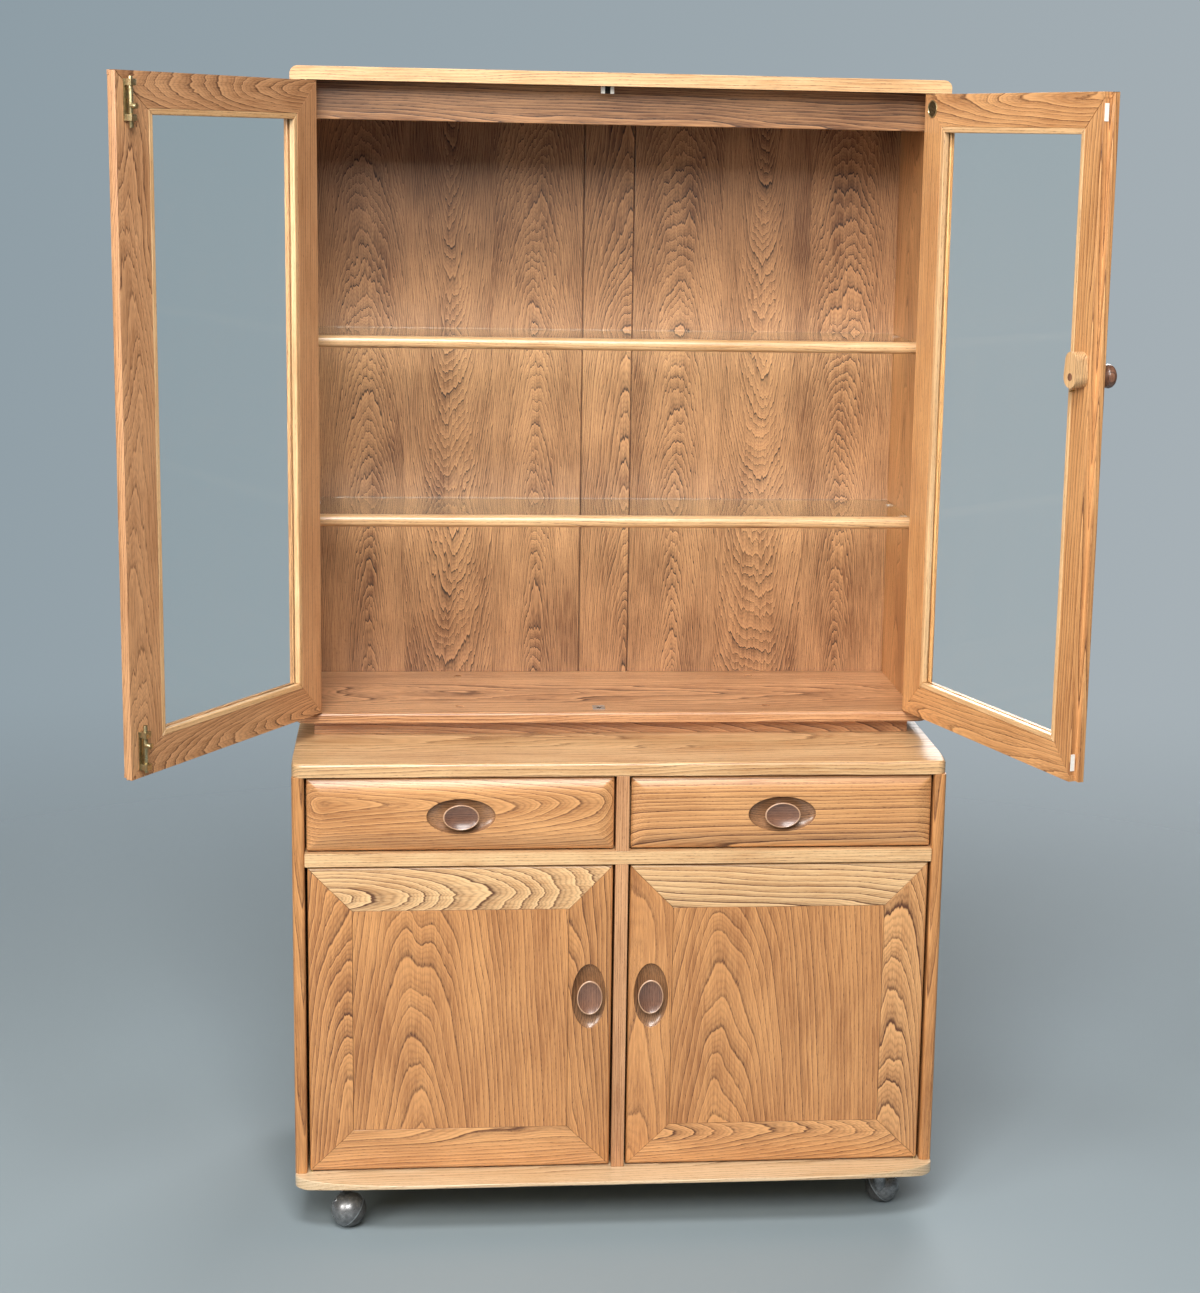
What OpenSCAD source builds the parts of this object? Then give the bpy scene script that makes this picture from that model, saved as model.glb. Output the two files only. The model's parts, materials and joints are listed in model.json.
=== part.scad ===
// Glazed display cabinet on a low cupboard base with two drawers, standing on ball castors.
// Millimetres. X runs to the right, the front faces -Y, Z is up and zero on the floor.
// The origin lies on the floor under the middle of the base case.

/* [Whole cabinet] */
// Width over the side panels of both cases
cabinet_w = 910; // [760:10:1100]
// Thickness of the side panels
side_t = 17; // [15:1:22]
// Rounding of the front edges of the side panels
side_arris = 5; // [3:0.5:7]
// Thickness of the panels that close the backs
back_t = 8; // [5:1:10]
// How far the backs are let in from the rear edges
back_inset = 3; // [1:1:6]
// Rounding of the front arris of the top and shelf boards
board_arris = 5; // [2:0.5:7]
// Rounding of the front corners of the boards, seen from above
board_corner = 14; // [8:1:24]

/* [Base case] */
// Depth of the base case from the side panels' front edges to the back
base_depth = 440; // [400:5:500]
// Height of the castors, floor to underside of the bottom board
castor_h = 66; // [62:1:80]
// Thickness of the bottom board
bottom_t = 16; // [14:1:22]
// How far the bottom board stands out in front of the side panels
bottom_nose = 50; // [30:1:60]
// Length of the curve that rounds each front corner of the bottom board
nose_curve = 175; // [100:5:250]
// Height of the square edge left on the front of the bottom board
nose_edge = 5; // [3:0.5:10]
// Depth of the bevel worked under that edge
nose_bevel = 30; // [20:1:45]
// Clear height of the cupboards
cupboard_h = 449; // [380:1:520]
// Thickness of the rail and runners under the drawers
rail_t = 19; // [15:1:24]
// Depth of the rail from front to back
rail_depth = 60; // [40:5:90]
// Clear height of the drawer bays
drawer_bay_h = 108; // [90:1:140]
// Thickness of the partition in the middle
partition_t = 18; // [15:1:24]
// Thickness of the top board
base_top_t = 19; // [16:1:25]

/* [Cupboard doors] */
// Thickness of the doors
door_t = 18; // [16:1:22]
// Width of the mitred frame
frame_w = 62; // [52:1:75]
// How far the frame's face falls away towards its outer edge
frame_fall = 5; // [3:0.5:7]
// Gap above and below each door
door_gap = 1.5; // [1:0.25:3]
// Gap between door and side panel
hinge_gap = 2.5; // [2:0.25:4]
// Gap between door and partition
meeting_gap = 2; // [1:0.25:3]
// Distance of the hinge pins from the door's edge
pin_in = 3.5; // [3:0.25:4]
// Radius of the hinge pins
pin_r = 1.75; // [1.5:0.05:2]
// Length of each hinge pin
pin_l = 20; // [14:1:26]
// Thickness of the cupboard shelves
shelf_t = 15; // [12:1:20]
// How far the cupboard shelves stand back from the doors
shelf_back = 60; // [30:5:120]

/* [Finger recesses and pulls] */
// Length of the oval recess
recess_l = 95; // [80:1:105]
// Width of the oval recess
recess_w = 50; // [44:1:52]
// Depth of the oval recess
recess_d = 11; // [8:0.5:12]
// Length of the oval pull
pull_l = 50; // [40:1:56]
// Width of the oval pull
pull_w = 36; // [28:1:40]
// How far the pull stands out in front of the door or drawer
pull_out = 7; // [4:0.5:12]
// Depth of the hollow in the pull's face
pull_dish = 4; // [2:0.5:4.5]
// Height of the pulls on the doors, as distance below the frame's top
door_pull_drop = 191; // [120:1:240]
// Distance of the door pull's middle from the door's free edge
door_pull_in = 32; // [28:1:34]

/* [Drawers] */
// Thickness of the drawer fronts
drawer_front_t = 20; // [18:1:24]
// Width of the rounded border of the drawer fronts
border_w = 28; // [20:1:34]
// How far that border falls away
border_fall = 8; // [5:0.5:8]
// Gap round the drawer fronts
drawer_gap = 2; // [1:0.25:3]
// Thickness of the drawer sides and backs
drawer_side_t = 12; // [9:1:14]
// Height of the drawer sides
drawer_side_h = 88; // [70:1:92]
// Room left between the drawers and the back panel
drawer_rear_play = 0.5; // [0.3:0.1:3]
// Thickness of the drawer bottoms
drawer_base_t = 4; // [3:0.5:6]
// Running clearance of the drawers
drawer_play = 0.4; // [0.3:0.05:0.8]

/* [Upper case] */
// Depth of the upper case
upper_depth = 287; // [250:5:340]
// Height of the plinth between the cases
plinth_h = 21; // [12:1:40]
// How far the plinth stands back from the board above it
plinth_in = 24; // [12:1:36]
// Thickness of the plinth's rails
plinth_t = 18; // [14:1:22]
// Thickness of the bottom board
upper_floor_t = 15; // [14:1:20]
// Clear height of the display space
display_h = 880; // [760:5:1000]
// Thickness of the top board
upper_top_t = 18; // [15:1:22]
// Rounding of the ends of the top board
top_end_r = 11; // [6:1:13]
// Height of the head rail behind the tops of the doors
head_rail_h = 52; // [36:1:64]
// How far the head rail stands back from the front of the case
head_rail_in = 42; // [38:1:60]
// Thickness of the head rail
head_rail_t = 16; // [12:1:20]
// Width of the plank in the middle of the back
plank_w = 73; // [50:1:110]
// Width of the groove beside that plank
plank_groove = 2; // [1.5:0.5:4]
// How far the plank's tongues reach behind the neighbouring boards
plank_tongue = 6; // [4:1:10]
// Height of the lower shelf's top over the bottom board
low_shelf_h = 273; // [200:1:320]
// Height of the upper shelf's top over the bottom board
high_shelf_h = 529; // [420:1:600]
// How far the shelves stand back from the front of the case
shelf_in = 75; // [66:1:110]
// Thickness of the shelf glass
shelf_glass_t = 6; // [5:0.5:8]
// Height of the wooden lipping on the shelf glass
lipping_h = 17; // [14:1:22]
// Width of that lipping
lipping_w = 14; // [10:1:20]

/* [Glazed doors] */
// How far the left door stands open
open_left = 120.7; // [0:0.1:122]
// How far the right door stands open
open_right = 108.9; // [0:0.1:122]
// Gap between door and side panel
glazed_gap = 1.5; // [1.5:0.25:2]
// Width of the frame at the hinge side, seen inside up to the bead
hinge_stile_w = 47; // [40:1:60]
// The same at the free edge of the left door
left_lock_w = 65; // [56:1:72]
// The same at the free edge of the right door
right_lock_w = 39; // [37:1:50]
// The same above and below the glass
glazed_rail_w = 44; // [38:1:60]
// Width of the beads that hold the glass
bead_w = 8; // [6:0.5:10]
// Thickness of the frame left in front of the glass
glass_seat = 6; // [5:0.5:7]
// Thickness of the door glass
door_glass_t = 4; // [3:0.5:5]
// Overlap of the right door in front of the left one
lap = 8; // [6:0.5:10]
// Thickness of the overlapping lip
lip_t = 8; // [7:0.5:9]
// Clearance in the overlap
lap_play = 1; // [0.5:0.25:1.5]
// Gap between the two doors' inner edges
lock_gap = 1.5; // [1:0.25:2.5]
// Height of the turning knob over the bottom board
turn_h = 526; // [300:1:700]
// Radius of the turning knob
turn_r = 15.5; // [12:0.5:18]
// How far the turning knob stands out
turn_out = 30; // [22:1:36]
// Radius of its spindle
spindle_r = 5; // [4:0.5:6]
// Running clearance of spindle, castor pins and hinge pins
running = 0.06; // [0.03:0.01:0.1]
// Thickness of the turn button inside
button_t = 18; // [10:1:20]
// Reach of the turn button from the spindle
button_reach = 32; // [26:1:36]
// Distance of the bolts from the left door's free edge
bolt_in = 22; // [18:1:30]
// Radius of the bolts
bolt_r = 3; // [2.5:0.25:3.5]
// Length of the bolt plates
bolt_plate_l = 50; // [40:1:60]
// Travel of the bolts
bolt_travel = 12; // [8:1:14]

/* [Castors] */
// Diameter of the castor ball
ball_d = 50; // [46:1:52]
// Distance of the ball's middle from its swivel pin
trail = 21; // [16:1:24]
// Distance of the swivel pins from the ends of the cabinet
castor_in_x = 69; // [60:1:90]
// Distance of the front swivel pins from the case front
castor_in_front = 27; // [10:1:60]
// Distance of the rear swivel pins from the back
castor_in_back = 75; // [55:1:110]
// Radius of the swivel pins
swivel_r = 5; // [4:0.5:6]
// Lean of the balls' axles below level
axle_lean = 40; // [35:1:45]
// Distance of the seam between hood and ball from the ball's middle
seam = 7; // [5:0.5:9]

/* [Hidden] */
$fn = 64;

// Colours
elm = "peru";
dark_wood = "saddlebrown";
brass = "darkgoldenrod";
clear = "lightblue";
steel = "silver";
grey = "dimgray";
white = "white";

// Small sizes used throughout
eps = 0.01;
glue_line = 0.1;
peg_depth = 6;

// Places across the cabinet
half_w = cabinet_w / 2;
inner_x = half_w - side_t;
half_part = partition_t / 2;

// Places from front to back
base_front = -base_depth / 2;
base_back = base_depth / 2;
upper_front = base_back - upper_depth;
back_face = base_back - back_inset - back_t;
door_inner = upper_front + door_t;

// Heights
base_floor = castor_h + bottom_t;
rail_z = base_floor + cupboard_h;
bay_z = rail_z + rail_t;
base_ceiling = bay_z + drawer_bay_h;
base_top_z = base_ceiling + base_top_t;
upper_board_z = base_top_z + plinth_h;
upper_floor = upper_board_z + upper_floor_t;
upper_ceiling = upper_floor + display_h;

// Round shapes need fine steps where the radius is large
function fine(r) = r > 100 ? 360 : 96;
// Depth of a face that falls away by fall over the width w, at distance u from its outer edge
function fall_r(w, fall) = (w * w + fall * fall) / (2 * fall);
function face_at(u, w, fall) = fall_r(w, fall) - sqrt(pow(fall_r(w, fall), 2) - pow(w - u, 2));

// Boards

// Board with rounded front corners and a rounded upper front arris
module nosed_board(w, y0, y1, z0, t, corner, arris) {
    intersection() {
        translate([0, 0, z0]) union() {
            translate([-w / 2, y0 + corner, 0]) cube([w, y1 - y0 - corner, t]);
            translate([-w / 2 + corner, y0, 0]) cube([w - 2 * corner, corner + 1, t]);
            for (s = [-1, 1]) translate([s * (w / 2 - corner), y0 + corner, 0])
                cylinder(r = corner, h = t, $fn = 96);
        }
        union() {
            translate([-w, y0 + arris, z0]) cube([2 * w, y1 - y0, t]);
            translate([-w, y0, z0]) cube([2 * w, arris + 1, t - arris]);
            translate([-w, y0 + arris, z0 + t - arris]) rotate([0, 90, 0])
                cylinder(r = arris, h = 2 * w, $fn = 96);
        }
    }
}

// Upright panel whose two front edges are rounded; x0 is its left face
module side_panel(x0, y0, y1, z0, h) {
    r = side_arris;
    translate([x0, y0 + r, z0]) cube([side_t, y1 - y0 - r, h]);
    translate([x0 + r, y0, z0]) cube([side_t - 2 * r, r + 1, h]);
    for (x = [x0 + r, x0 + side_t - r]) translate([x, y0 + r, z0])
        cylinder(r = r, h = h, $fn = 96);
}

// Plan of the bottom board with its long curved front corners
module bottom_plan() {
    steps = 18;
    curve = [for (i = [0:steps]) let (a = 90 * i / steps)
        [half_w - nose_curve + nose_curve * cos(a), base_front - bottom_nose * sin(a)]];
    polygon(concat([[-half_w, base_back], [half_w, base_back]], curve,
        [for (i = [steps:-1:0]) [-curve[i][0], curve[i][1]]]));
}

// Holes for the hinge pins, turned round the same axes as the pins
module pin_holes(places, z, r) {
    for (p = places) translate([p[0], p[1], z - pin_l / 2]) cylinder(r = r, h = pin_l);
}

// Places of the hinge pins, left and right
glazed_pin_x = inner_x - glazed_gap - pin_in;
glazed_pin_y = upper_front + pin_in;
glazed_pins = [[-glazed_pin_x, glazed_pin_y], [glazed_pin_x, glazed_pin_y]];
cupboard_pin_x = inner_x - hinge_gap - pin_in;
cupboard_pin_y = base_front + face_at(pin_in, frame_w, frame_fall) + pin_in;
cupboard_pins = [[-cupboard_pin_x, cupboard_pin_y], [cupboard_pin_x, cupboard_pin_y]];

module base_bottom_board() color(elm) difference() {
    translate([0, 0, castor_h]) linear_extrude(bottom_t) bottom_plan();
    for (c = castors) translate([c[0], c[1], castor_h - 1]) cylinder(r = socket_r, h = socket_l + 1);
    translate([-cabinet_w, base_front - bottom_nose, castor_h]) rotate([90, 0, 90])
        linear_extrude(2 * cabinet_w) polygon([[-1, -1], [nose_bevel, -1], [nose_bevel, 0],
            [0, bottom_t - nose_edge], [-1, bottom_t - nose_edge]]);
    pin_holes(cupboard_pins, base_floor, pin_r);
}

module base_left_side() color(elm) difference() {
    side_panel(-half_w, base_front, base_back, base_floor, base_ceiling - base_floor);
    cupboard_peg_holes(-inner_x, 1);
}

module base_right_side() color(elm) difference() {
    side_panel(inner_x, base_front, base_back, base_floor, base_ceiling - base_floor);
    cupboard_peg_holes(inner_x, -1);
}

module base_top_board() color(elm)
    nosed_board(cabinet_w, base_front, base_back, base_ceiling, base_top_t, board_corner, board_arris);

module base_partition() color(elm) difference() {
    translate([-half_part, base_front, base_floor])
        cube([partition_t, back_face - base_front, base_ceiling - base_floor]);
    translate([-half_part - 1, base_front - 1, rail_z]) cube([partition_t + 2, rail_depth + 1, rail_t]);
    cupboard_peg_holes(-half_part, -1);
    cupboard_peg_holes(half_part, 1);
}

module drawer_rail() color(elm) difference() {
    translate([-inner_x, base_front, rail_z]) cube([2 * inner_x, rail_depth, rail_t]);
    pin_holes(cupboard_pins, rail_z, pin_r);
}

module base_back_panel() color(elm)
    translate([-inner_x, back_face, base_floor]) cube([2 * inner_x, back_t, base_ceiling - base_floor]);

// Strips behind the rail that the drawer sides run on
runner_w = drawer_side_t + 6;
module drawer_runners() color(elm)
    for (x = [-inner_x, -half_part - runner_w, half_part, inner_x - runner_w])
        translate([x, base_front + rail_depth, rail_z])
            cube([runner_w, back_face - base_front - rail_depth, rail_t]);

cupboard_shelf_y = base_front + door_t + shelf_back;
cupboard_peg_z = base_floor + cupboard_h / 2;
module cupboard_shelves() color(elm)
    for (x = [-inner_x + 1, half_part + 1]) translate([x, cupboard_shelf_y, cupboard_peg_z])
        cube([inner_x - half_part - 2, back_face - cupboard_shelf_y - 2, shelf_t]);

// Pegs carry the shelves. Each is let into the panel whose face is at x; side points away from it
peg_r = 2.5;
peg_out = 10;
peg_rows = 40;
glass_y = upper_front + shelf_in + lipping_w / 2;
glass_end = 1.5;
glass_drop = 2;
shelf_tops = [upper_floor + low_shelf_h, upper_floor + high_shelf_h];
cupboard_peg_ys = [cupboard_shelf_y + peg_rows, back_face - peg_rows];
glass_peg_ys = [glass_y + peg_rows, back_face - peg_rows];

module peg(x, side, y, z, out) translate([x - side * peg_depth, y, z - peg_r]) rotate([0, side * 90, 0])
    cylinder(r = peg_r, h = peg_depth + out);

module cupboard_peg_holes(x, side)
    for (y = cupboard_peg_ys) peg(x, side, y, cupboard_peg_z, 1);

module glass_peg_holes(x, side)
    for (z = shelf_tops, y = glass_peg_ys) peg(x, side, y, z - glass_drop - shelf_glass_t, 1);

module shelf_pegs() color(steel) {
    for (y = cupboard_peg_ys, s = [-1, 1]) {
        peg(s * inner_x, -s, y, cupboard_peg_z, peg_out);
        peg(s * half_part, s, y, cupboard_peg_z, peg_out);
    }
    for (z = shelf_tops, y = glass_peg_ys, s = [-1, 1])
        peg(s * inner_x, -s, y, z - glass_drop - shelf_glass_t, peg_out);
}

// Magnetic catches under the rail, behind the free edges of the cupboard doors
catch_size = [40, 14, 12];
module cupboard_catches() color(white)
    for (s = [-1, 1]) translate([s * (half_part + 40) - catch_size[0] / 2,
        base_front + door_t + 0.3, rail_z - catch_size[2]]) cube(catch_size);

// Upper case

module upper_plinth() color(elm) {
    x = half_w - plinth_in;
    y0 = upper_front + plinth_in;
    translate([-x, y0, base_top_z]) cube([2 * x, plinth_t, plinth_h]);
    translate([-x, base_back - plinth_t, base_top_z]) cube([2 * x, plinth_t, plinth_h]);
    for (x1 = [-x, x - plinth_t]) translate([x1, y0 + plinth_t + glue_line, base_top_z])
        cube([plinth_t, base_back - y0 - 2 * plinth_t - 2 * glue_line, plinth_h]);
}

bolt_x = -lock_gap / 2 - bolt_in;
bolt_y = door_inner + 6;
plug_in = 30;
plug_x = (half_part + inner_x) / 2;
plug_places = [for (x = [-plug_x, plug_x], y = [upper_front + head_rail_in, back_face - plug_in]) [x, y]];
plug_r = 6;
plug_l = 5;
module upper_bottom_board() color(elm) difference() {
    nosed_board(cabinet_w, upper_front, base_back, upper_board_z, upper_floor_t, board_corner, board_arris);
    pin_holes(glazed_pins, upper_floor, pin_r);
    translate([bolt_x, bolt_y, upper_floor - bolt_travel]) cylinder(r = bolt_r + 0.5, h = bolt_travel + 1);
    for (p = plug_places) translate([p[0], p[1], upper_floor - plug_l]) cylinder(r = plug_r, h = plug_l + 1);
}

module screw_plugs() color(elm)
    for (p = plug_places) translate([p[0], p[1], upper_floor - plug_l]) cylinder(r = plug_r, h = plug_l);

module upper_left_side() color(elm) difference() {
    side_panel(-half_w, upper_front, base_back, upper_floor, display_h);
    glass_peg_holes(-inner_x, 1);
}

module upper_right_side() color(elm) difference() {
    side_panel(inner_x, upper_front, base_back, upper_floor, display_h);
    glass_peg_holes(inner_x, -1);
}

module upper_top_board() color(elm) difference() {
    intersection() {
        nosed_board(cabinet_w, upper_front, base_back, upper_ceiling, upper_top_t, board_corner, board_arris);
        translate([0, base_back, upper_ceiling]) rotate([90, 0, 0]) union() {
            translate([-half_w, 0, -1]) cube([cabinet_w, upper_top_t - top_end_r, upper_depth + 2]);
            translate([-half_w + top_end_r, 0, -1])
                cube([cabinet_w - 2 * top_end_r, upper_top_t, upper_depth + 2]);
            for (s = [-1, 1]) translate([s * (half_w - top_end_r), upper_top_t - top_end_r, -1])
                cylinder(r = top_end_r, h = upper_depth + 2, $fn = 96);
        }
    }
    pin_holes(glazed_pins, upper_ceiling, pin_r);
    translate([bolt_x, bolt_y, upper_ceiling - 1]) cylinder(r = bolt_r + 0.5, h = bolt_travel + 1);
}

module upper_head_rail() color(elm)
    translate([-inner_x, upper_front + head_rail_in, upper_ceiling - head_rail_h])
        cube([2 * inner_x, head_rail_t, head_rail_h]);

// The middle plank's tongues close the grooves beside it
module upper_back_boards() color(elm) {
    x = plank_w / 2;
    t = back_t / 2;
    translate([-x, back_face, upper_floor]) cube([plank_w, back_t, display_h]);
    translate([-x - plank_tongue, back_face + t, upper_floor])
        cube([plank_w + 2 * plank_tongue, t, display_h]);
    for (s = [0, 1]) mirror([s, 0, 0]) {
        translate([x + plank_groove, back_face, upper_floor])
            cube([inner_x - x - plank_groove, t - glue_line, display_h]);
        translate([x + plank_tongue + glue_line, back_face, upper_floor])
            cube([inner_x - x - plank_tongue - glue_line, back_t, display_h]);
    }
}

module shelf_glass() color(clear)
    for (z = shelf_tops) translate([-inner_x + glass_end, glass_y, z - glass_drop - shelf_glass_t])
        cube([2 * (inner_x - glass_end), back_face - glass_y - 1, shelf_glass_t]);

module shelf_lippings() color(elm)
    for (z = shelf_tops) {
        r = lipping_h / 2;
        y0 = upper_front + shelf_in;
        difference() {
            intersection() {
                translate([-inner_x + glass_end, y0, z - lipping_h])
                    cube([2 * (inner_x - glass_end), lipping_w, lipping_h]);
                translate([-cabinet_w, y0 + r, z - r]) rotate([0, 90, 0]) union() {
                    cylinder(r = r, h = 2 * cabinet_w, $fn = 96);
                    translate([-r, 0, 0]) cube([lipping_h, lipping_w, 2 * cabinet_w]);
                }
            }
            translate([-cabinet_w, glass_y, z - glass_drop - shelf_glass_t])
                cube([2 * cabinet_w, lipping_w, shelf_glass_t]);
        }
    }

// Keeps that hold the bolts: a forked block under the top board, a plate on the bottom board
keep_w = 18;
keep_h = 10;
keep_depth = 12;
keep_plate_t = 1.5;
module bolt_keeps() color(white) {
    difference() {
        translate([bolt_x - keep_w / 2, bolt_y - keep_depth / 2 + 1, upper_ceiling - keep_h])
            cube([keep_w, keep_depth, keep_h]);
        translate([bolt_x, bolt_y, upper_ceiling - keep_h - 1]) union() {
            cylinder(r = bolt_r + 0.7, h = keep_h + 2);
            translate([-bolt_r - 0.7, -keep_depth, 0]) cube([2 * bolt_r + 1.4, keep_depth, keep_h + 2]);
        }
    }
    difference() {
        translate([bolt_x - keep_w / 2, bolt_y - 6, upper_floor]) cube([keep_w, 22, keep_plate_t]);
        translate([bolt_x, bolt_y, upper_floor - 1]) cylinder(r = bolt_r + 0.5, h = 4);
    }
}

module hinge_pins() color(brass)
    for (level = [[glazed_pins, upper_floor], [glazed_pins, upper_ceiling],
        [cupboard_pins, base_floor], [cupboard_pins, rail_z]])
        pin_holes(level[0], level[1], pin_r);

// Doors. A door is drawn with its hinge edge at x = 0, its face at y = 0 and its foot at z = 0

// Straight member along X with mitred ends: its outer edge lies at z = 0, its inner one at z = w
module member(length, w, cut_a, cut_b, t, fall) intersection() {
    rotate([90, 0, 0]) translate([0, 0, -t]) linear_extrude(t)
        polygon([[glue_line, 0], [length - glue_line, 0], [length - cut_b - glue_line, w],
            [cut_a + glue_line, w]]);
    if (fall > 0) translate([-1, fall_r(w, fall), w]) rotate([0, 90, 0])
        cylinder(r = fall_r(w, fall), h = length + 2, $fn = fine(fall_r(w, fall)));
    else translate([-1, 0, -1]) cube([length + 2, t, w + 2]);
}

// Four mitred members round a door of the size w by h
module mitred_frame(w, h, hinge_w, lock_w, end_w, t, fall) {
    member(w, end_w, hinge_w, lock_w, t, fall);
    translate([w, 0, h]) rotate([0, 180, 0]) member(w, end_w, lock_w, hinge_w, t, fall);
    translate([0, 0, h]) rotate([0, 90, 0]) member(h, hinge_w, end_w, end_w, t, fall);
    translate([w, 0, 0]) rotate([0, -90, 0]) member(h, lock_w, end_w, end_w, t, fall);
}

// Sockets for the hinge pins in the ends of a door's hinge stile
socket_bottom = pin_l / 2 - door_gap + 1;
module pin_sockets(h, pin_y)
    for (z = [-1, h - socket_bottom]) translate([pin_in, pin_y, z])
        cylinder(r = pin_r + running, h = socket_bottom + 1);

// What is cut from a glazed door's hinge edge so that it turns clear of the side panel
module hinge_rounding(h) difference() {
    translate([-1, -1, -1]) cube([pin_in + 1, pin_in + 1, h + 2]);
    translate([pin_in, pin_in, -2]) cylinder(r = pin_in, h = h + 4, $fn = 96);
}

// Oval recess with a flat seat for its pull; along is "x" or "z"
recess_seat = 0.6;
module recess(along) {
    turn = along == "x" ? 0 : 90;
    rotate([0, turn, 0]) union() {
        scale([recess_l / 2 / recess_d, 1, recess_w / 2 / recess_d]) sphere(r = recess_d, $fn = 96);
        rotate([-90, 0, 0]) scale([pull_l / pull_w, 1, 1])
            cylinder(r = 0.64 * pull_w / 2, h = recess_d + recess_seat);
    }
}

// Flattened ball whose outline is the pull's oval at the radius r; t is half its height
module oval_ball(r, t) scale([pull_l / pull_w * r / t, r / t, 1]) sphere(r = t, $fn = 96);

// Oval pull standing on the seat of its recess: a foot under a cup with a hollow face
pull_cup = 9;
pull_rim = 1.5;
module pull(along) color(dark_wood) {
    r = pull_w / 2;
    h = recess_d + recess_seat + pull_out;
    turn = along == "x" ? 0 : 90;
    rotate([0, turn, 0]) translate([0, recess_d + recess_seat, 0]) rotate([90, 0, 0]) {
        scale([pull_l / pull_w, 1, 1]) cylinder(r = 0.55 * r, h = h - pull_cup, $fn = 96);
        difference() {
            translate([0, 0, h - pull_rim]) oval_ball(r, pull_cup);
            translate([-pull_l, -pull_l, h]) cube([2 * pull_l, 2 * pull_l, pull_cup]);
            translate([0, 0, h]) oval_ball(r - pull_rim, pull_dish);
        }
    }
}

// Cupboard doors

cupboard_door_w = inner_x - hinge_gap - half_part - meeting_gap;
cupboard_door_h = cupboard_h - 2 * door_gap;
door_pull_z = cupboard_door_h - door_pull_drop;

// Puts a left-hand door drawing in place, or its mirror image for the right
module cupboard_place(side) mirror([side > 0 ? 1 : 0, 0, 0])
    translate([-inner_x + hinge_gap, base_front, base_floor + door_gap]) children();

module cupboard_frame(side) color(elm) cupboard_place(side) difference() {
    mitred_frame(cupboard_door_w, cupboard_door_h, frame_w, frame_w, frame_w, door_t, frame_fall);
    pin_sockets(cupboard_door_h, cupboard_pin_y - base_front);
    translate([cupboard_door_w - door_pull_in, 0, door_pull_z]) recess("z");
}

panel_gap = 0.3;
panel_t = 14;
module cupboard_panel(side) color(elm) cupboard_place(side)
    translate([frame_w + panel_gap, 0, frame_w + panel_gap])
        cube([cupboard_door_w - 2 * frame_w - 2 * panel_gap, panel_t,
            cupboard_door_h - 2 * frame_w - 2 * panel_gap]);

module cupboard_pull(side) cupboard_place(side)
    translate([cupboard_door_w - door_pull_in, 0, door_pull_z]) pull("z");

// Drawers

bay_w = inner_x - half_part;
drawer_front_w = bay_w - 2 * drawer_gap;
drawer_front_h = drawer_bay_h - 2 * drawer_gap;
drawer_box_w = bay_w - 3;
drawer_floor = 8;
drawer_side_l = back_face - drawer_rear_play - base_front - drawer_front_t;

// Puts a drawer drawing in place; x = 0 is the bay's middle, z = 0 the runners' top
module drawer_place(side) translate([side * (half_part + bay_w / 2), base_front, bay_z]) children();

// Slab whose face falls away along two opposite edges, along X
module fallen_slab(length, w, t, fall, border) {
    r = fall_r(border, fall);
    translate([0, 0, border]) cube([length, t, w - 2 * border]);
    for (z = [border, w - border]) intersection() {
        translate([0, 0, z == border ? 0 : z - eps]) cube([length, t, border + eps]);
        translate([-1, r, z]) rotate([0, 90, 0]) cylinder(r = r, h = length + 2, $fn = fine(r));
    }
}

module drawer_front(side) color(elm) drawer_place(side) difference() {
    w = drawer_front_w;
    h = drawer_front_h;
    translate([0, 0, drawer_gap]) intersection() {
        translate([-w / 2, 0, 0]) fallen_slab(w, h, drawer_front_t, border_fall, border_w);
        translate([w / 2, 0, 0]) rotate([0, -90, 0])
            fallen_slab(h, w, drawer_front_t, border_fall, border_w);
    }
    translate([0, 0, drawer_gap + h / 2 - 2]) recess("x");
}

module drawer_bottom(side) color(elm) drawer_place(side)
    translate([-drawer_box_w / 2 + drawer_side_t - 4, drawer_front_t, drawer_floor])
        cube([drawer_box_w - 2 * drawer_side_t + 8, drawer_side_l, drawer_base_t]);

module drawer_walls(side) color(elm) drawer_place(side) {
    l = drawer_side_l;
    inner = drawer_box_w - 2 * drawer_side_t;
    for (s = [-1, 1]) difference() {
        translate([s * (drawer_box_w - drawer_side_t) / 2 - drawer_side_t / 2, drawer_front_t, drawer_play])
            cube([drawer_side_t, l, drawer_side_h]);
        translate([-inner / 2 - 4 - 0.1, 0, drawer_floor - 0.1])
            cube([inner + 8.2, l + drawer_front_t + 1, drawer_base_t + 0.2]);
    }
    translate([-inner / 2 + glue_line, drawer_front_t + l - drawer_side_t, drawer_floor + drawer_base_t])
        cube([inner - 2 * glue_line, drawer_side_t, drawer_side_h - drawer_floor - drawer_base_t]);
}

module drawer_pull(side) drawer_place(side)
    translate([0, 0, drawer_gap + drawer_front_h / 2 - 2]) pull("x");

// Glazed doors

glazed_h = display_h - 2 * door_gap;
left_glazed_w = inner_x - glazed_gap - lock_gap / 2;
right_glazed_w = left_glazed_w + lap;

// Puts a left-hand door drawing in place and swings it open, or its mirror image for the right
module glazed_place(side) mirror([side > 0 ? 1 : 0, 0, 0])
    translate([-glazed_pin_x, glazed_pin_y, upper_floor + door_gap])
        rotate([0, 0, side > 0 ? -open_right : -open_left])
            translate([-pin_in, -pin_in, 0]) children();

// Width of one door's frame members with the part under the beads
function lock_full(side) = side > 0 ? right_lock_w + lap + bead_w : left_lock_w + bead_w;
function door_width(side) = side > 0 ? right_glazed_w : left_glazed_w;
hinge_full = hinge_stile_w + bead_w;
rail_full = glazed_rail_w + bead_w;

// Where the turning knob goes through the right door
turn_x = left_glazed_w - right_lock_w / 2 + 2;
turn_z = turn_h - door_gap;

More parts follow.
